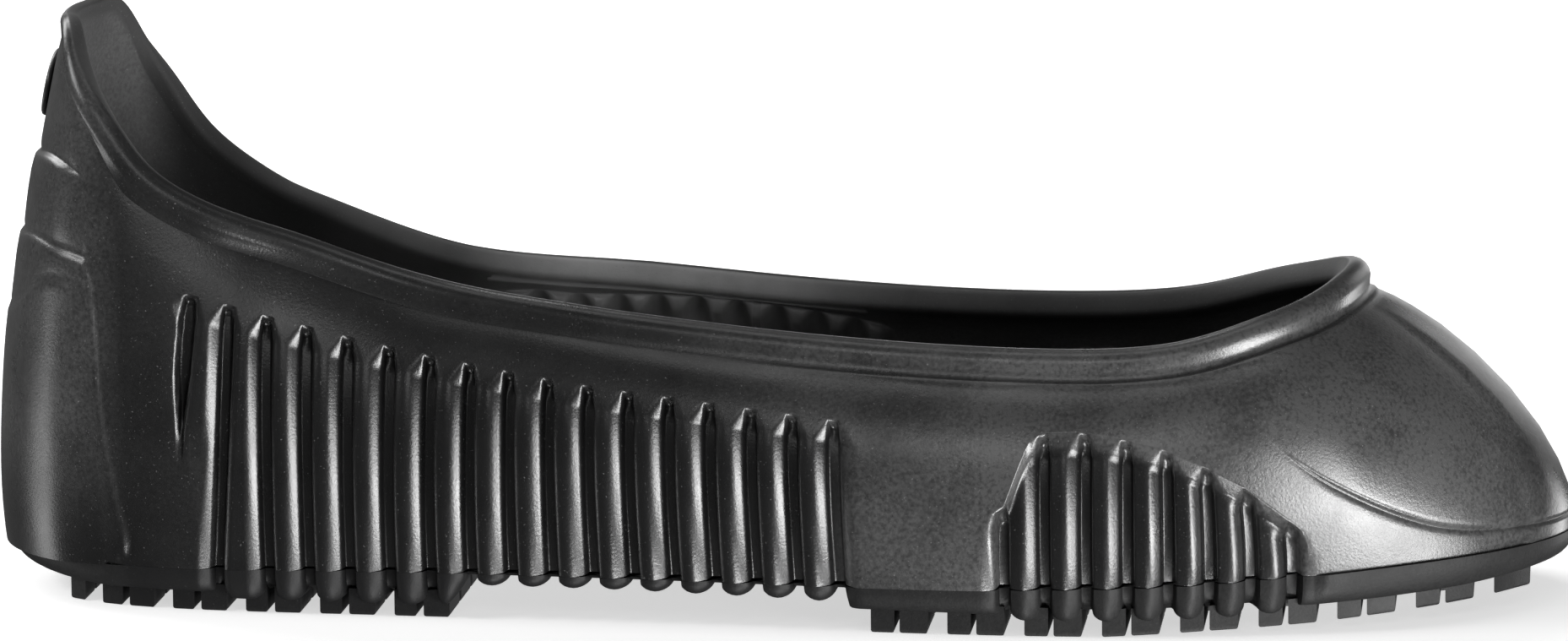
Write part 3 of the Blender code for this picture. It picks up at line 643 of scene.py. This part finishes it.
def toe_steps(share):
    """Toe cap that stands proud above its lower edge and fades upwards, and the strip along the toe."""
    line = soft_line(CAP_LINE, CAP_REACH)
    above = (share - line) * LENGTH
    left = np.clip((1.0 - share) / (1.0 - line), 0.0, 1.0)
    shown = smooth((X_BASE - CAP_START_X) / CAP_FADE)
    raised = CAP_RAISE * smooth(above / CAP_EDGE) * smooth(CAP_TOP_FADE * left)
    cap = shown * (raised - CAP_GROOVE * np.exp(-(above / CAP_GROOVE_HALF) ** 2))
    bow = STRIP_BOW * np.sin(np.pi * np.clip(share, 0.0, 1.0))
    flare = STRIP_FLARE * np.clip(STRIP_FLARE_SHARE - share, 0.0, STRIP_FLARE_SHARE) / STRIP_FLARE_SHARE
    edge = STRIP_EDGE_X + bow - flare
    strip = STRIP_RAISE * smooth((X_BASE - edge) / STRIP_RUN) * smooth(left / STRIP_TOP_FADE)
    return cap + strip


def soft_waves(points):
    """Slight unevenness of moulded rubber: the sum of slow sine waves across the wall."""
    x, z = points[..., 0], points[..., 2]
    return sum(height * np.sin(x / x_run + z / z_run) for height, x_run, z_run in WAVES)


def outer_shares():
    """Shares of the height of the outer rows, in three bands up to the bead, and their distance below it."""
    _, _, _, cosine = collar_frame(AROUND)
    foot = 1.0 - cove("reach") / (LENGTH * cosine)
    share = np.vstack([TOP * BELOW_ROWS[:, None], blend(TOP, MID, MIDDLE_ROWS[:, None]),
                       blend(MID, foot, ABOVE_ROWS[:, None])])
    return share, (foot - share) * LENGTH * cosine


def outer_face():
    """Rows from seam to bead: the plain wall moved along its normal by the steps, folds and waves."""
    share, under = outer_shares()
    t = share / TOP
    here, normal, _ = wall_frame(AROUND, share)
    press = fold_press(t) + panel_press(t)
    near_bead = smooth(under / BEAD_CLEAR)
    lip = LIP_RAISE * np.exp(-((under - LIP_BELOW) / LIP_HALF) ** 2) \
        - LIP_GROOVE * np.exp(-(under / LIP_HALF) ** 2)
    lip = lip * smooth((X_TOP - LIP_FROM_X) / (LIP_FULL_X - LIP_FROM_X))
    lift = lip + heel_steps(share) + toe_steps(share) * near_bead + soft_waves(here) * near_bead - press
    return here + normal * lift[..., None]


def bead_rows():
    """Rows of the rolled collar: a circle along its edge, squarer on the inside, where it meets the wall."""
    here, normal, across, _ = collar_frame(AROUND)
    share = bead_share()[:, None]
    middle = here + normal * blend(TAB_SHIFT, BEAD_SHIFT, share)
    radius = blend(TAB_RADIUS, BEAD_RADIUS, share)
    start = cove("start_deg")
    turn = np.linspace(0.0, 1.0, BEAD_ROWS)[:, None]
    ends = np.array(BEAD_END_DEG)[:, None] * np.ones_like(start)
    angles = np.radians(np.vstack([blend(start, BEAD_TURN_DEG, turn), ends]))[..., None]
    outwards, upwards = np.cos(angles), np.sin(angles)
    inner = outwards < 0.0
    outwards = np.where(inner, -np.abs(outwards) ** RIM_SQUARE, outwards)
    upwards = np.where(inner, np.sign(upwards) * np.abs(upwards) ** RIM_SQUARE, upwards)
    return middle + radius * (outwards * normal + upwards * across)


def inner_face(knob_top):
    """Rows from collar to seam, one wall behind the plain face, with a knob behind each fold up to a line.

    A knob is a power of a cosine across and a quarter circle over its top. Also gives the share by which
    each knob's crest is rubbed smooth."""
    foot = np.maximum(knob_top - KNOB_ROUND / LENGTH, KNOB_FOOT_SHARE * knob_top)
    share = np.vstack([blend(knob_top, 1.0, INNER_ABOVE_ROWS[:, None]),
                       blend(knob_top, foot, KNOB_ROWS[:, None]), foot * INNER_BELOW_ROWS[:, None]])
    t = share / TOP
    here, normal, _ = wall_frame(AROUND, share)
    side, number = side_fold(t)
    fore, _ = fore_fold()
    on_side = X_BASE < FIELD_SPLIT_X
    distance = np.where(on_side, side, fore)
    short = np.where(on_side, short_share(t, number), 1.0)
    across = np.clip(distance / KNOB_HALF_WIDTH, -1.0, 1.0)
    crest = short * np.cos(0.5 * np.pi * across) ** KNOB_POWER
    turn = np.clip((knob_top - share) * LENGTH / KNOB_ROUND, 0.0, 1.0)
    knob = FOLD_DEPTH * crest * np.sqrt(turn * (2.0 - turn))
    below_top = share <= knob_top + SHARE_STEP
    rubbed = KNOB_RUB * below_top * smooth((crest - KNOB_RUB_FROM) / (1.0 - KNOB_RUB_FROM))
    return here - normal * (WALL + knob)[..., None], rubbed


def both_sides(outer_rows, inner_rows):
    """Closed rings from half rows: the outer side from heel to toe, then the inner side back again."""
    outer = outer_rows.copy()
    outer[..., 1] *= -1.0
    return placed(np.concatenate([outer, inner_rows[:, -2:0:-1]], axis=1))


def whole_round(near, far=None):
    """Values of the half columns carried round both sides."""
    far = near if far is None else far
    return np.concatenate([near, far[..., -2:0:-1]], axis=-1)


def ring_quads(rows, size, closed):
    """Corner numbers of the quads between neighbouring rings of points."""
    first = np.arange(rows if closed else rows - 1)[:, None] * size
    second = (first + size) % (rows * size)
    here = np.arange(size)[None, :]
    after = (here + 1) % size
    return np.stack([first + here, first + after, second + after, second + here], -1).reshape(-1, 4)


def add_object(name, data):
    """A new object linked to the scene."""
    thing = bpy.data.objects.new(name, data)
    bpy.context.scene.collection.objects.link(thing)
    return thing


def add_piece(name, points, quads, sharp_deg=None, sharp_ring=0, weld=False, marks=None):
    """A named mesh in metres at the origin, faces outwards, smooth but for sharp edges, values at points."""
    mesh = bpy.data.meshes.new(name)
    mesh.from_pydata((points * MM).tolist(), [], quads.tolist())
    form = bmesh.new()
    form.from_mesh(mesh)
    if weld:
        bmesh.ops.remove_doubles(form, verts=form.verts[:], dist=WELD_DISTANCE)
    bmesh.ops.recalc_face_normals(form, faces=form.faces[:])
    form.to_mesh(mesh)
    form.free()
    mesh.shade_smooth()
    if sharp_deg:
        mesh.set_sharp_from_angle(angle=math.radians(sharp_deg))
    if sharp_ring:
        ends = np.empty(2 * len(mesh.edges), np.int32)
        mesh.edges.foreach_get("vertices", ends)
        sharp = np.all(ends.reshape(-1, 2) < sharp_ring, axis=1)
        mesh.attributes.new("sharp_edge", "BOOLEAN", "EDGE").data.foreach_set("value", sharp)
    for mark, values in (marks or {}).items():
        data = mesh.attributes.new(mark, "FLOAT", "POINT").data
        data.foreach_set("value", values.astype(np.float32).ravel())
    return add_object(name, mesh)


def fold_ends():
    """Half circle over each rib's end, 1 at its middle and 0 in the grooves, and 1 where the fields are."""
    side, _ = side_fold(np.zeros_like(X_BASE))
    fore, _ = fore_fold()
    side_from = SIDE_FOLD_FIRST_X + SIDE_FOLD_PITCH + SECOND_FOLD_LEAN[0] - SECOND_FOLD_LEAN[1]
    side_to = SIDE_FOLD_FIRST_X + SIDE_FOLD_PITCH * (SIDE_FOLDS - 1)
    fore_to = FORE_FOLD_FIRST_X + FORE_FOLD_PITCH * (FORE_FOLDS - 1)
    humps = np.zeros_like(X_BASE)
    fields = np.zeros_like(X_BASE)
    for distance, pitch, start, end in ((side, SIDE_FOLD_PITCH, side_from, side_to),
                                        (fore, FORE_FOLD_PITCH, FORE_FOLD_FIRST_X, fore_to)):
        field = (X_BASE > start) * (X_BASE < end)
        off = np.clip((0.5 * pitch - np.abs(distance)) / END_HALF, 0.0, 1.0)
        humps += np.sqrt(1.0 - off**2) * field
        fields += field
    return humps, fields


def film_left_by_painted_shade(share):
    """Share of the pale film that stays: little between the folds and low on the heel, where its loss is
    painted shade.
    """
    _, fields = fold_ends()
    folds = fields * smooth((TOP - share) * LENGTH / FOLD_SHADE_RUN)
    low = smooth((LOW_HEEL_SHADE_SHARE - share) / LOW_HEEL_SHADE_FADE)
    low_heel = smooth((LOW_HEEL_SHADE_X - X_BASE) / LOW_HEEL_SHADE_RUN) * low
    return (1.0 - FOLD_SHADE * folds) * (1.0 - low_heel)


def make_upper():
    """The shell: outer face, bead and inner face as one closed sheet of rings, with its marks of wear and of
    painted shade.
    """
    share, _ = outer_shares()
    face = np.concatenate([outer_face(), bead_rows()])
    near_top = np.maximum(NEAR_KNOB_TOP * TOP, LEAST_KNOB_TOP)
    arched = (X_BASE > FAR_KNOB_TOP[0][0]) & (X_BASE < FAR_KNOB_TOP[-1][0])
    far_top = np.where(arched, np.maximum(near_top, table_at(FAR_KNOB_TOP, X_BASE)), near_top)
    near_inside, near_rubbed = inner_face(near_top)
    far_inside, far_rubbed = inner_face(far_top)
    near = np.concatenate([face, near_inside])
    far = np.concatenate([face, far_inside])
    for rows in (near, far):
        rows[[0, -1], :, 2] += 0.5 * PARTING_GAP
    rings = both_sides(near, far)
    count, size = rings.shape[:2]
    matt_from = len(share) + MATT_BEAD_ROW
    inside = np.zeros((count, size))
    inside[matt_from:] = 1.0
    talc = inside * whole_round(table_at(TALC, X_BASE))
    inside[len(face):] -= whole_round(near_rubbed, far_rubbed)
    dust_and_shade = np.ones((count, size))
    # Painted shade between the folds and low on the heel: less of the pale film there.
    dust_and_shade[:len(share)] = whole_round(film_left_by_painted_shade(share))
    # Painted shade on the inner half of the rim: little of the pale film kept.
    dust_and_shade[matt_from:len(face)] = RIM_SHADE_FILM_SHARE
    marks = {"inside": inside, "talc": talc, "dust_and_shade": dust_and_shade}
    quads = ring_quads(count, size, True)
    return add_piece("upper_shell", rings.reshape(-1, 3), quads, sharp_ring=size, marks=marks)


def make_outsole_plate():
    """Rings of the plate: floor, land, band as a quarter ellipse with the fold ends, then the underside."""
    s = sections(AROUND)
    nx, ny = seam_normals(AROUND)
    foot = np.zeros_like(AROUND)
    pressed = fold_press(foot) + panel_press(foot) - soft_waves(wall(AROUND, foot)[0])
    z_floor = s["z_base"] + FLOOR_RISE
    z_land = s["z_base"] - 0.5 * PARTING_GAP
    z_plate = np.minimum(sole_line(X_BASE, "z_plate"), z_land - PLATE_LEAST)
    humps, fields = fold_ends()
    z_between = z_plate + END_RISE * fields * smooth((z_land - z_plate) / END_RISE_RUN)
    z_end = blend(z_between, z_plate - sole_line(X_BASE, "end_drop"), humps)
    z_end = np.minimum(z_end, z_land - END_LEAST)
    bumper = TOE_BUMPER * smooth((X_BASE - TOE_BUMPER_START_X) / TOE_BUMPER_RUN)
    raised = BAND_FOLLOW * COUNTER_RAISE * smooth((COUNTER_FOOT_X - X_BASE) / COUNTER_FOOT_FADE + 0.5)
    edge = EDGE_INSET + HEEL_EDGE_INSET * smooth((HEEL_EDGE_X - X_BASE) / HEEL_EDGE_RUN)
    face = -bumper - raised
    floor_edge = WALL + FLOOR_CLEAR
    levels = [(floor_edge, z_floor, share) for share in FLOOR_SHARES]
    levels += [(floor_edge, z_land, 1.0), (face, z_land, 1.0), (face, z_land - BAND_FLAT, 1.0)]
    for turn in np.radians(BAND_TURNS_DEG):
        inset = blend(face, edge - raised, 1.0 - np.cos(turn))
        z_band = np.minimum(blend(z_land - BAND_FLAT, z_end, np.sin(turn)), z_land - BAND_LEAST)
        levels.append((inset, z_band, 1.0))
    levels += [(edge + UNDER_INSET, z_plate, share) for share in UNDER_SHARES]
    rows = []
    for inset, z, share in levels:
        out = -pressed - inset
        half = np.maximum(s["half_base"] + ny * out, 0.0) * share
        rows.append(np.stack([s["x_base"] + nx * out, half, z], -1))
    rings = both_sides(np.array(rows), np.array(rows))
    count, size = rings.shape[:2]
    return rings.reshape(-1, 3), ring_quads(count, size, False)


def lug_half(x):
    """Half width of the tread at these lengthwise positions."""
    return sections(around_at(np.atleast_1d(x)))["half_base"] - EDGE_INSET - LUG_INSET


def lug_spans(start, split, heel):
    """Lengthwise spans of the blocks of one row: whole or split by a narrow slot."""
    back = max(start, LUG_BACK_X)
    front = min(start + LUG_ROW, LUG_FRONT_X)
    joint = start + LUG_SMALL + 0.5 * LUG_NOTCH
    if not split or not back + LUG_NOTCH < joint < front - 2.0 * LUG_NOTCH:
        return [(back, front)]
    slot = LUG_NOTCH if heel else FORE_SLOT_SHARE * LUG_NOTCH
    return [(back, joint - 0.5 * slot), (joint + 0.5 * slot, front)]


def lug_block(back, front, side_from, side_to):
    """One tread block: an oblong carried down from the plate in rings, its lower edge eased in."""
    rings = []
    for inset, line, rise in LUG_LEVELS:
        x = np.array([back + inset, front - inset, front - inset, back + inset])
        side = np.array([side_from, side_from, side_to, side_to])
        inward = np.array([inset, inset, -inset, -inset])
        rings.append(np.stack([x, lug_half(x) * side + inward, sole_line(x, line) + rise], -1))
    return placed(np.array(rings)).reshape(-1, 3)


def lug_quads():
    """Corner numbers of one tread block: its rings, its root and its bottom."""
    root = np.arange(LUG_CORNERS)
    bottom = root + LUG_CORNERS * (len(LUG_LEVELS) - 1)
    return np.vstack([ring_quads(len(LUG_LEVELS), LUG_CORNERS, False), root[None, ::-1], bottom[None, :]])


def make_tread():
    """All tread blocks as points and quads."""
    heel = [(HEEL_LUG_FIRST_X + LUG_ROW_PITCH * i, True) for i in range(HEEL_LUG_ROWS)]
    fore = [(FORE_LUG_FIRST_X + LUG_ROW_PITCH * i, False) for i in range(FORE_LUG_ROWS)]
    blocks = [lug_block(back, front, side_from, side_to)
              for start, is_heel in heel + fore
              for side_from, side_to, split in LUG_BLOCKS
              for back, front in lug_spans(start, split, is_heel)]
    quads = lug_quads()
    return np.vstack(blocks), np.vstack([quads + len(blocks[0]) * i for i in range(len(blocks))])


def make_outsole():
    """Plate and tread blocks as one piece."""
    plate_points, plate_quads = make_outsole_plate()
    tread_points, tread_quads = make_tread()
    points = np.vstack([plate_points, tread_points])
    quads = np.vstack([plate_quads, tread_quads + len(plate_points)])
    return add_piece("outsole_moulded", points, quads, sharp_deg=OUTSOLE_SHARP_DEG, weld=True)


def make_oval():
    """Low oval dome on the back of the heel tab: rings of an ellipse lifted along the wall's normal."""
    angle = np.linspace(0.0, 2.0 * np.pi, OVAL_SPOKES, endpoint=False)
    shares = np.linspace(0.0, 1.0, FINE_STEPS)
    back = wall(np.zeros(1), shares[:, None])[:, 0]
    rings = []
    for size, lift in OVAL_PROFILE:
        share = np.interp(OVAL_Z + OVAL_HALF_HEIGHT * size * np.sin(angle), back[:, 2], shares)
        around = OVAL_HALF_WIDTH * size * np.cos(angle)
        grids = wall_frame(np.abs(around), share[:, None] * np.ones(OVAL_SPOKES))
        here, normal, _ = (np.diagonal(grid, axis1=0, axis2=1).T for grid in grids)
        ring = here + normal * lift
        ring[:, 1] *= np.where(around > 0.0, -1.0, 1.0)
        rings.append(placed(ring))
    return add_piece("heel_oval", np.vstack(rings), ring_quads(len(OVAL_PROFILE), OVAL_SPOKES, True))


RUBBER_IOR = 1.52
GRAIN_HEIGHT = 0.0002
INSIDE_ROUGH = 0.75
SPECK_LIGHT = 3.0
# Noise patterns of the rubber, per metre.
NOISE_COLUMNS = ("Scale", "Detail", "Roughness")
NOISES = {
    "cloud": (38.0, 5.0, 0.65),
    "fine_bloom": (1400.0, 2.0, 0.55),
    "gloss": (95.0, 5.0, 0.55),
    "speck": (2600.0, 1.0, 0.55),
    "talc": (60.0, 5.0, 0.55),
    "grain": (2100.0, 3.0, 0.55),
}
# How a pattern, a mark or a place is spread to a value.
SPREAD_COLUMNS = ("From Min", "From Max", "To Min", "To Max")
NOISE_RANGE = (0.3, 0.7)
# Paler towards the toe: painted light standing in for a broad weak front light, laid over the mottled pale
# film.
FORWARD_PAINTED_LIGHT = (-0.015, 0.045, 0.1, 1.0)
HEEL_BLOOM = (-0.116, -0.126, 0.0, 0.7)
CLOUD_BLOOM = (*NOISE_RANGE, 0.3, 1.3)
FINE_BLOOM = (*NOISE_RANGE, 0.5, 1.5)
TALC_PATCHES = (*NOISE_RANGE, 0.5, 1.0)
SPECKS = (0.70, 0.80, 0.0, 0.6)


def new_material(name):
    """A new material with its node tree and its shader."""
    material = bpy.data.materials.new(name)
    material.use_nodes = True
    return material, material.node_tree, material.node_tree.nodes["Principled BSDF"]


def spread(tree, value, limits):
    """Value carried from one range to another, held at both ends."""
    node = tree.nodes.new("ShaderNodeMapRange")
    for column, limit in zip(SPREAD_COLUMNS, limits):
        node.inputs[column].default_value = limit
    tree.links.new(value, node.inputs["Value"])
    return node.outputs["Result"]


def rubber(name, dark, pale_dust_and_light, rough, grain, specular=0.5, talc=None):
    """Satin black rubber: fine grain, uneven gloss, a mottled pale film that is also painted light towards
    the toe and, on the upper, painted shade from a mark, a few pale specks, and talc inside.
    """
    material, tree, shader = new_material(name)
    shader.inputs["IOR"].default_value = RUBBER_IOR
    shader.inputs["Specular IOR Level"].default_value = specular
    place = tree.nodes.new("ShaderNodeTexCoord").outputs["Object"]

    def noise(pattern):
        """Value of a noise pattern of the table."""
        node = tree.nodes.new("ShaderNodeTexNoise")
        for column, value in zip(NOISE_COLUMNS, NOISES[pattern]):
            node.inputs[column].default_value = value
        tree.links.new(place, node.inputs["Vector"])
        return node.outputs["Fac"]

    def mark(mark_name):
        """Value that the piece carries at its points."""
        node = tree.nodes.new("ShaderNodeAttribute")
        node.attribute_name = mark_name
        return node.outputs["Fac"]

    def combine(operation, first, second):
        """Two values added, multiplied or compared."""
        node = tree.nodes.new("ShaderNodeMath")
        node.operation = operation
        tree.links.new(first, node.inputs[0])
        tree.links.new(second, node.inputs[1])
        return node.outputs["Value"]

    def mix(share, first, second):
        """Two colours mixed by a share, each plain or another mix."""
        node = tree.nodes.new("ShaderNodeMix")
        node.data_type = "RGBA"
        sockets = [socket for socket in node.inputs if socket.type == "RGBA"]
        for socket, value in zip(sockets, (first, second)):
            if isinstance(value, tuple):
                socket.default_value = (*value, 1.0)
            else:
                tree.links.new(value, socket)
        tree.links.new(share, node.inputs[0])
        return next(socket for socket in node.outputs if socket.type == "RGBA")

    split = tree.nodes.new("ShaderNodeSeparateXYZ")
    tree.links.new(place, split.inputs["Vector"])
    # Painted light: the colour grows paler towards the toe. The heel part and the cloud noise give a mottled
    # pale film.
    forward = spread(tree, split.outputs["X"], FORWARD_PAINTED_LIGHT)
    heel = spread(tree, split.outputs["X"], HEEL_BLOOM)
    bloom_light_and_shade = combine("MULTIPLY", combine("ADD", forward, heel), spread(tree, noise("cloud"), CLOUD_BLOOM))
    bloom_light_and_shade = combine("MULTIPLY", bloom_light_and_shade, spread(tree, noise("fine_bloom"), FINE_BLOOM))
    gloss = spread(tree, noise("gloss"), (*NOISE_RANGE, *rough))
    if talc:
        # Painted shade: the point mark takes the pale film away between the folds, low on the heel and on the
        # rim's inner half.
        bloom_light_and_shade = combine("MULTIPLY", bloom_light_and_shade, mark("dust_and_shade"))
        gloss = combine("MAXIMUM", gloss, spread(tree, mark("inside"), (0.0, 1.0, 0.0, INSIDE_ROUGH)))
    colour = mix(bloom_light_and_shade, dark, pale_dust_and_light)
    if talc:
        patches = combine("MULTIPLY", mark("talc"), spread(tree, noise("talc"), TALC_PATCHES))
        colour = mix(patches, colour, talc)
    colour = mix(spread(tree, noise("speck"), SPECKS), colour, tuple(SPECK_LIGHT * c for c in pale_dust_and_light))
    tree.links.new(colour, shader.inputs["Base Color"])
    tree.links.new(gloss, shader.inputs["Roughness"])
    bump = tree.nodes.new("ShaderNodeBump")
    bump.inputs["Strength"].default_value = grain
    bump.inputs["Distance"].default_value = GRAIN_HEIGHT
    tree.links.new(noise("grain"), bump.inputs["Height"])
    tree.links.new(bump.outputs["Normal"], shader.inputs["Normal"])
    return material


def dress(piece, material, node):
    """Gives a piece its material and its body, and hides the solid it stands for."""
    piece.data.materials.append(material)
    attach(piece, "root")
    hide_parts(node)


upper_rubber = rubber("upper_rubber", dark=(0.003, 0.003, 0.0031), pale_dust_and_light=(0.036, 0.036, 0.036),
                      rough=(0.25, 0.35), grain=0.20, talc=(0.3, 0.3, 0.3))
sole_rubber = rubber("outsole_rubber", dark=(0.005, 0.005, 0.0052), pale_dust_and_light=(0.010, 0.010, 0.010),
                     rough=(0.46, 0.58), grain=0.22, specular=0.15)
oval_rubber = rubber("oval_rubber", dark=(0.012, 0.012, 0.012), pale_dust_and_light=(0.02, 0.02, 0.02),
                     rough=(0.32, 0.42), grain=0.15)
dress(make_upper(), upper_rubber, "upper")
dress(make_outsole(), sole_rubber, "outsole")
dress(make_oval(), oval_rubber, "heel_badge")

# Camera at the photo's angle: turned towards the toe, a little above, with a slight roll.
PICTURE_WIDTH = 1858
FOCAL_PIXELS = 9050.0
SENSOR_MM = 36.0
CAMERA_AZIMUTH = math.radians(6.0)
CAMERA_ELEVATION = math.radians(9.0)
CAMERA_ROLL = math.radians(-0.5)
CAMERA_DISTANCE = 1400.0
CAMERA_TARGET = Vector((STAND[0], STAND[1], 49.2))
CLIP_NEAR = 0.05
CLIP_FAR = 20.0


def make_camera():
    """Long lens looking at the middle of the shoe, its axes built from azimuth, elevation and roll."""
    az, el = CAMERA_AZIMUTH, CAMERA_ELEVATION
    ahead = Vector((-math.sin(az) * math.cos(el), math.cos(az) * math.cos(el), -math.sin(el)))
    right = Vector((math.cos(az), math.sin(az), 0.0))
    up = right.cross(ahead)
    across = right * math.cos(CAMERA_ROLL) + up * math.sin(CAMERA_ROLL)
    upward = up * math.cos(CAMERA_ROLL) - right * math.sin(CAMERA_ROLL)
    lens = bpy.data.cameras.new("photo_camera")
    lens.sensor_width = SENSOR_MM
    lens.sensor_fit = "HORIZONTAL"
    lens.lens = FOCAL_PIXELS / PICTURE_WIDTH * SENSOR_MM
    lens.clip_start = CLIP_NEAR
    lens.clip_end = CLIP_FAR
    camera = add_object("photo_camera", lens)
    turn = Matrix((across, upward, -ahead)).transposed().to_4x4()
    camera.matrix_world = Matrix.Translation((CAMERA_TARGET - ahead * CAMERA_DISTANCE) * MM) @ turn
    bpy.context.scene.camera = camera


# Floor, in metres: it glows a little more away from the shoe.
FLOOR_HALF = 4.0
FLOOR_LINES = 9
FLOOR_PALE = 0.82
FLOOR_ROUGH = 0.9
# Distances at which the glow starts to grow and is full, then its strength there.
FLOOR_GLOW = (0.16, 0.34, 0.6, 0.8)


def make_floor():
    """Level pale floor: a square grid whose glow grows with the distance from the shoe.

    It isn't seen in reflections and lets light through, for the lights below its level."""
    along = np.linspace(-FLOOR_HALF, FLOOR_HALF, FLOOR_LINES)
    across_x, across_y = np.meshgrid(along, along)
    points = np.stack([across_x, across_y, np.zeros_like(across_x)], -1)
    cells = np.arange(FLOOR_LINES - 1)
    first = (cells[:, None] * FLOOR_LINES + cells[None, :]).ravel()
    quads = np.stack([first, first + 1, first + FLOOR_LINES + 1, first + FLOOR_LINES], -1)
    mesh = bpy.data.meshes.new("pale_floor")
    mesh.from_pydata(points.reshape(-1, 3).tolist(), [], quads.tolist())
    material, tree, shader = new_material("pale_floor")
    shader.inputs["Base Color"].default_value = (FLOOR_PALE, FLOOR_PALE, FLOOR_PALE, 1.0)
    shader.inputs["Roughness"].default_value = FLOOR_ROUGH
    shader.inputs["Emission Color"].default_value = (1.0, 1.0, 1.0, 1.0)
    away = tree.nodes.new("ShaderNodeVectorMath")
    away.operation = "LENGTH"
    tree.links.new(tree.nodes.new("ShaderNodeTexCoord").outputs["Object"], away.inputs[0])
    glow = spread(tree, away.outputs["Value"], FLOOR_GLOW)
    tree.links.new(glow, shader.inputs["Emission Strength"])
    mesh.materials.append(material)
    floor = add_object("pale_floor", mesh)
    floor.visible_glossy = False
    floor.visible_shadow = False


# Softboxes round the shoe: azimuth from the near side towards the toe and elevation in degrees, distance,
# width and height in metres, power in watts. The last five light the far side and the top.
ROOM_GLOW = 0.12
LIGHT_AIM = (0.0, 0.0, 0.04)
LIGHTS = (
    ("right", 57.0, -12.0, 1.1, 0.5, 0.3, 13.0),
    ("ball", 44.0, -2.0, 1.1, 0.3, 0.4, 6.6),
    ("left", -70.0, 34.0, 1.2, 0.4, 0.3, 4.5),
    ("heel", -122.0, 31.0, 1.2, 0.45, 0.36, 4.0),
    ("front", 0.0, 30.0, 1.4, 0.6, 0.3, 1.6),
    ("low", 30.0, -42.0, 1.0, 0.6, 0.14, 12.0),
    ("counter", -92.0, -14.0, 1.2, 0.4, 0.4, 2.0),
    ("back", 180.0, 4.0, 1.3, 1.0, 0.3, 1.2),
    ("far", 215.0, 48.0, 1.3, 0.6, 0.6, 6.0),
    ("toe_strip", 150.0, 16.0, 1.2, 0.4, 0.4, 0.5),
    ("far_toe", 132.0, -6.0, 1.2, 0.3, 0.4, 2.2),
    ("top", 0.0, 86.0, 1.2, 0.8, 0.4, 1.5),
)


def soft_light(name, azimuth, elevation, distance, wide, high, power):
    """A rectangular light at a place on a sphere round the shoe, turned to its middle."""
    az, el = math.radians(azimuth), math.radians(elevation)
    level = distance * math.cos(el)
    place = Vector((level * math.sin(az), -level * math.cos(az), distance * math.sin(el)))
    data = bpy.data.lights.new(f"{name}_softbox", "AREA")
    data.shape = "RECTANGLE"
    data.size = wide
    data.size_y = high
    data.energy = power
    light = add_object(data.name, data)
    light.location = place
    light.rotation_euler = (Vector(LIGHT_AIM) - place).to_track_quat("-Z", "Y").to_euler()


def make_light():
    """The lights of the table in a dim pale room."""
    world = bpy.data.worlds.new("studio")
    world.use_nodes = True
    room = world.node_tree.nodes["Background"]
    room.inputs["Color"].default_value = (1.0, 1.0, 1.0, 1.0)
    room.inputs["Strength"].default_value = ROOM_GLOW
    bpy.context.scene.world = world
    for row in LIGHTS:
        soft_light(*row)


make_camera()
make_floor()
make_light()
bpy.context.scene.view_settings.view_transform = "Standard"
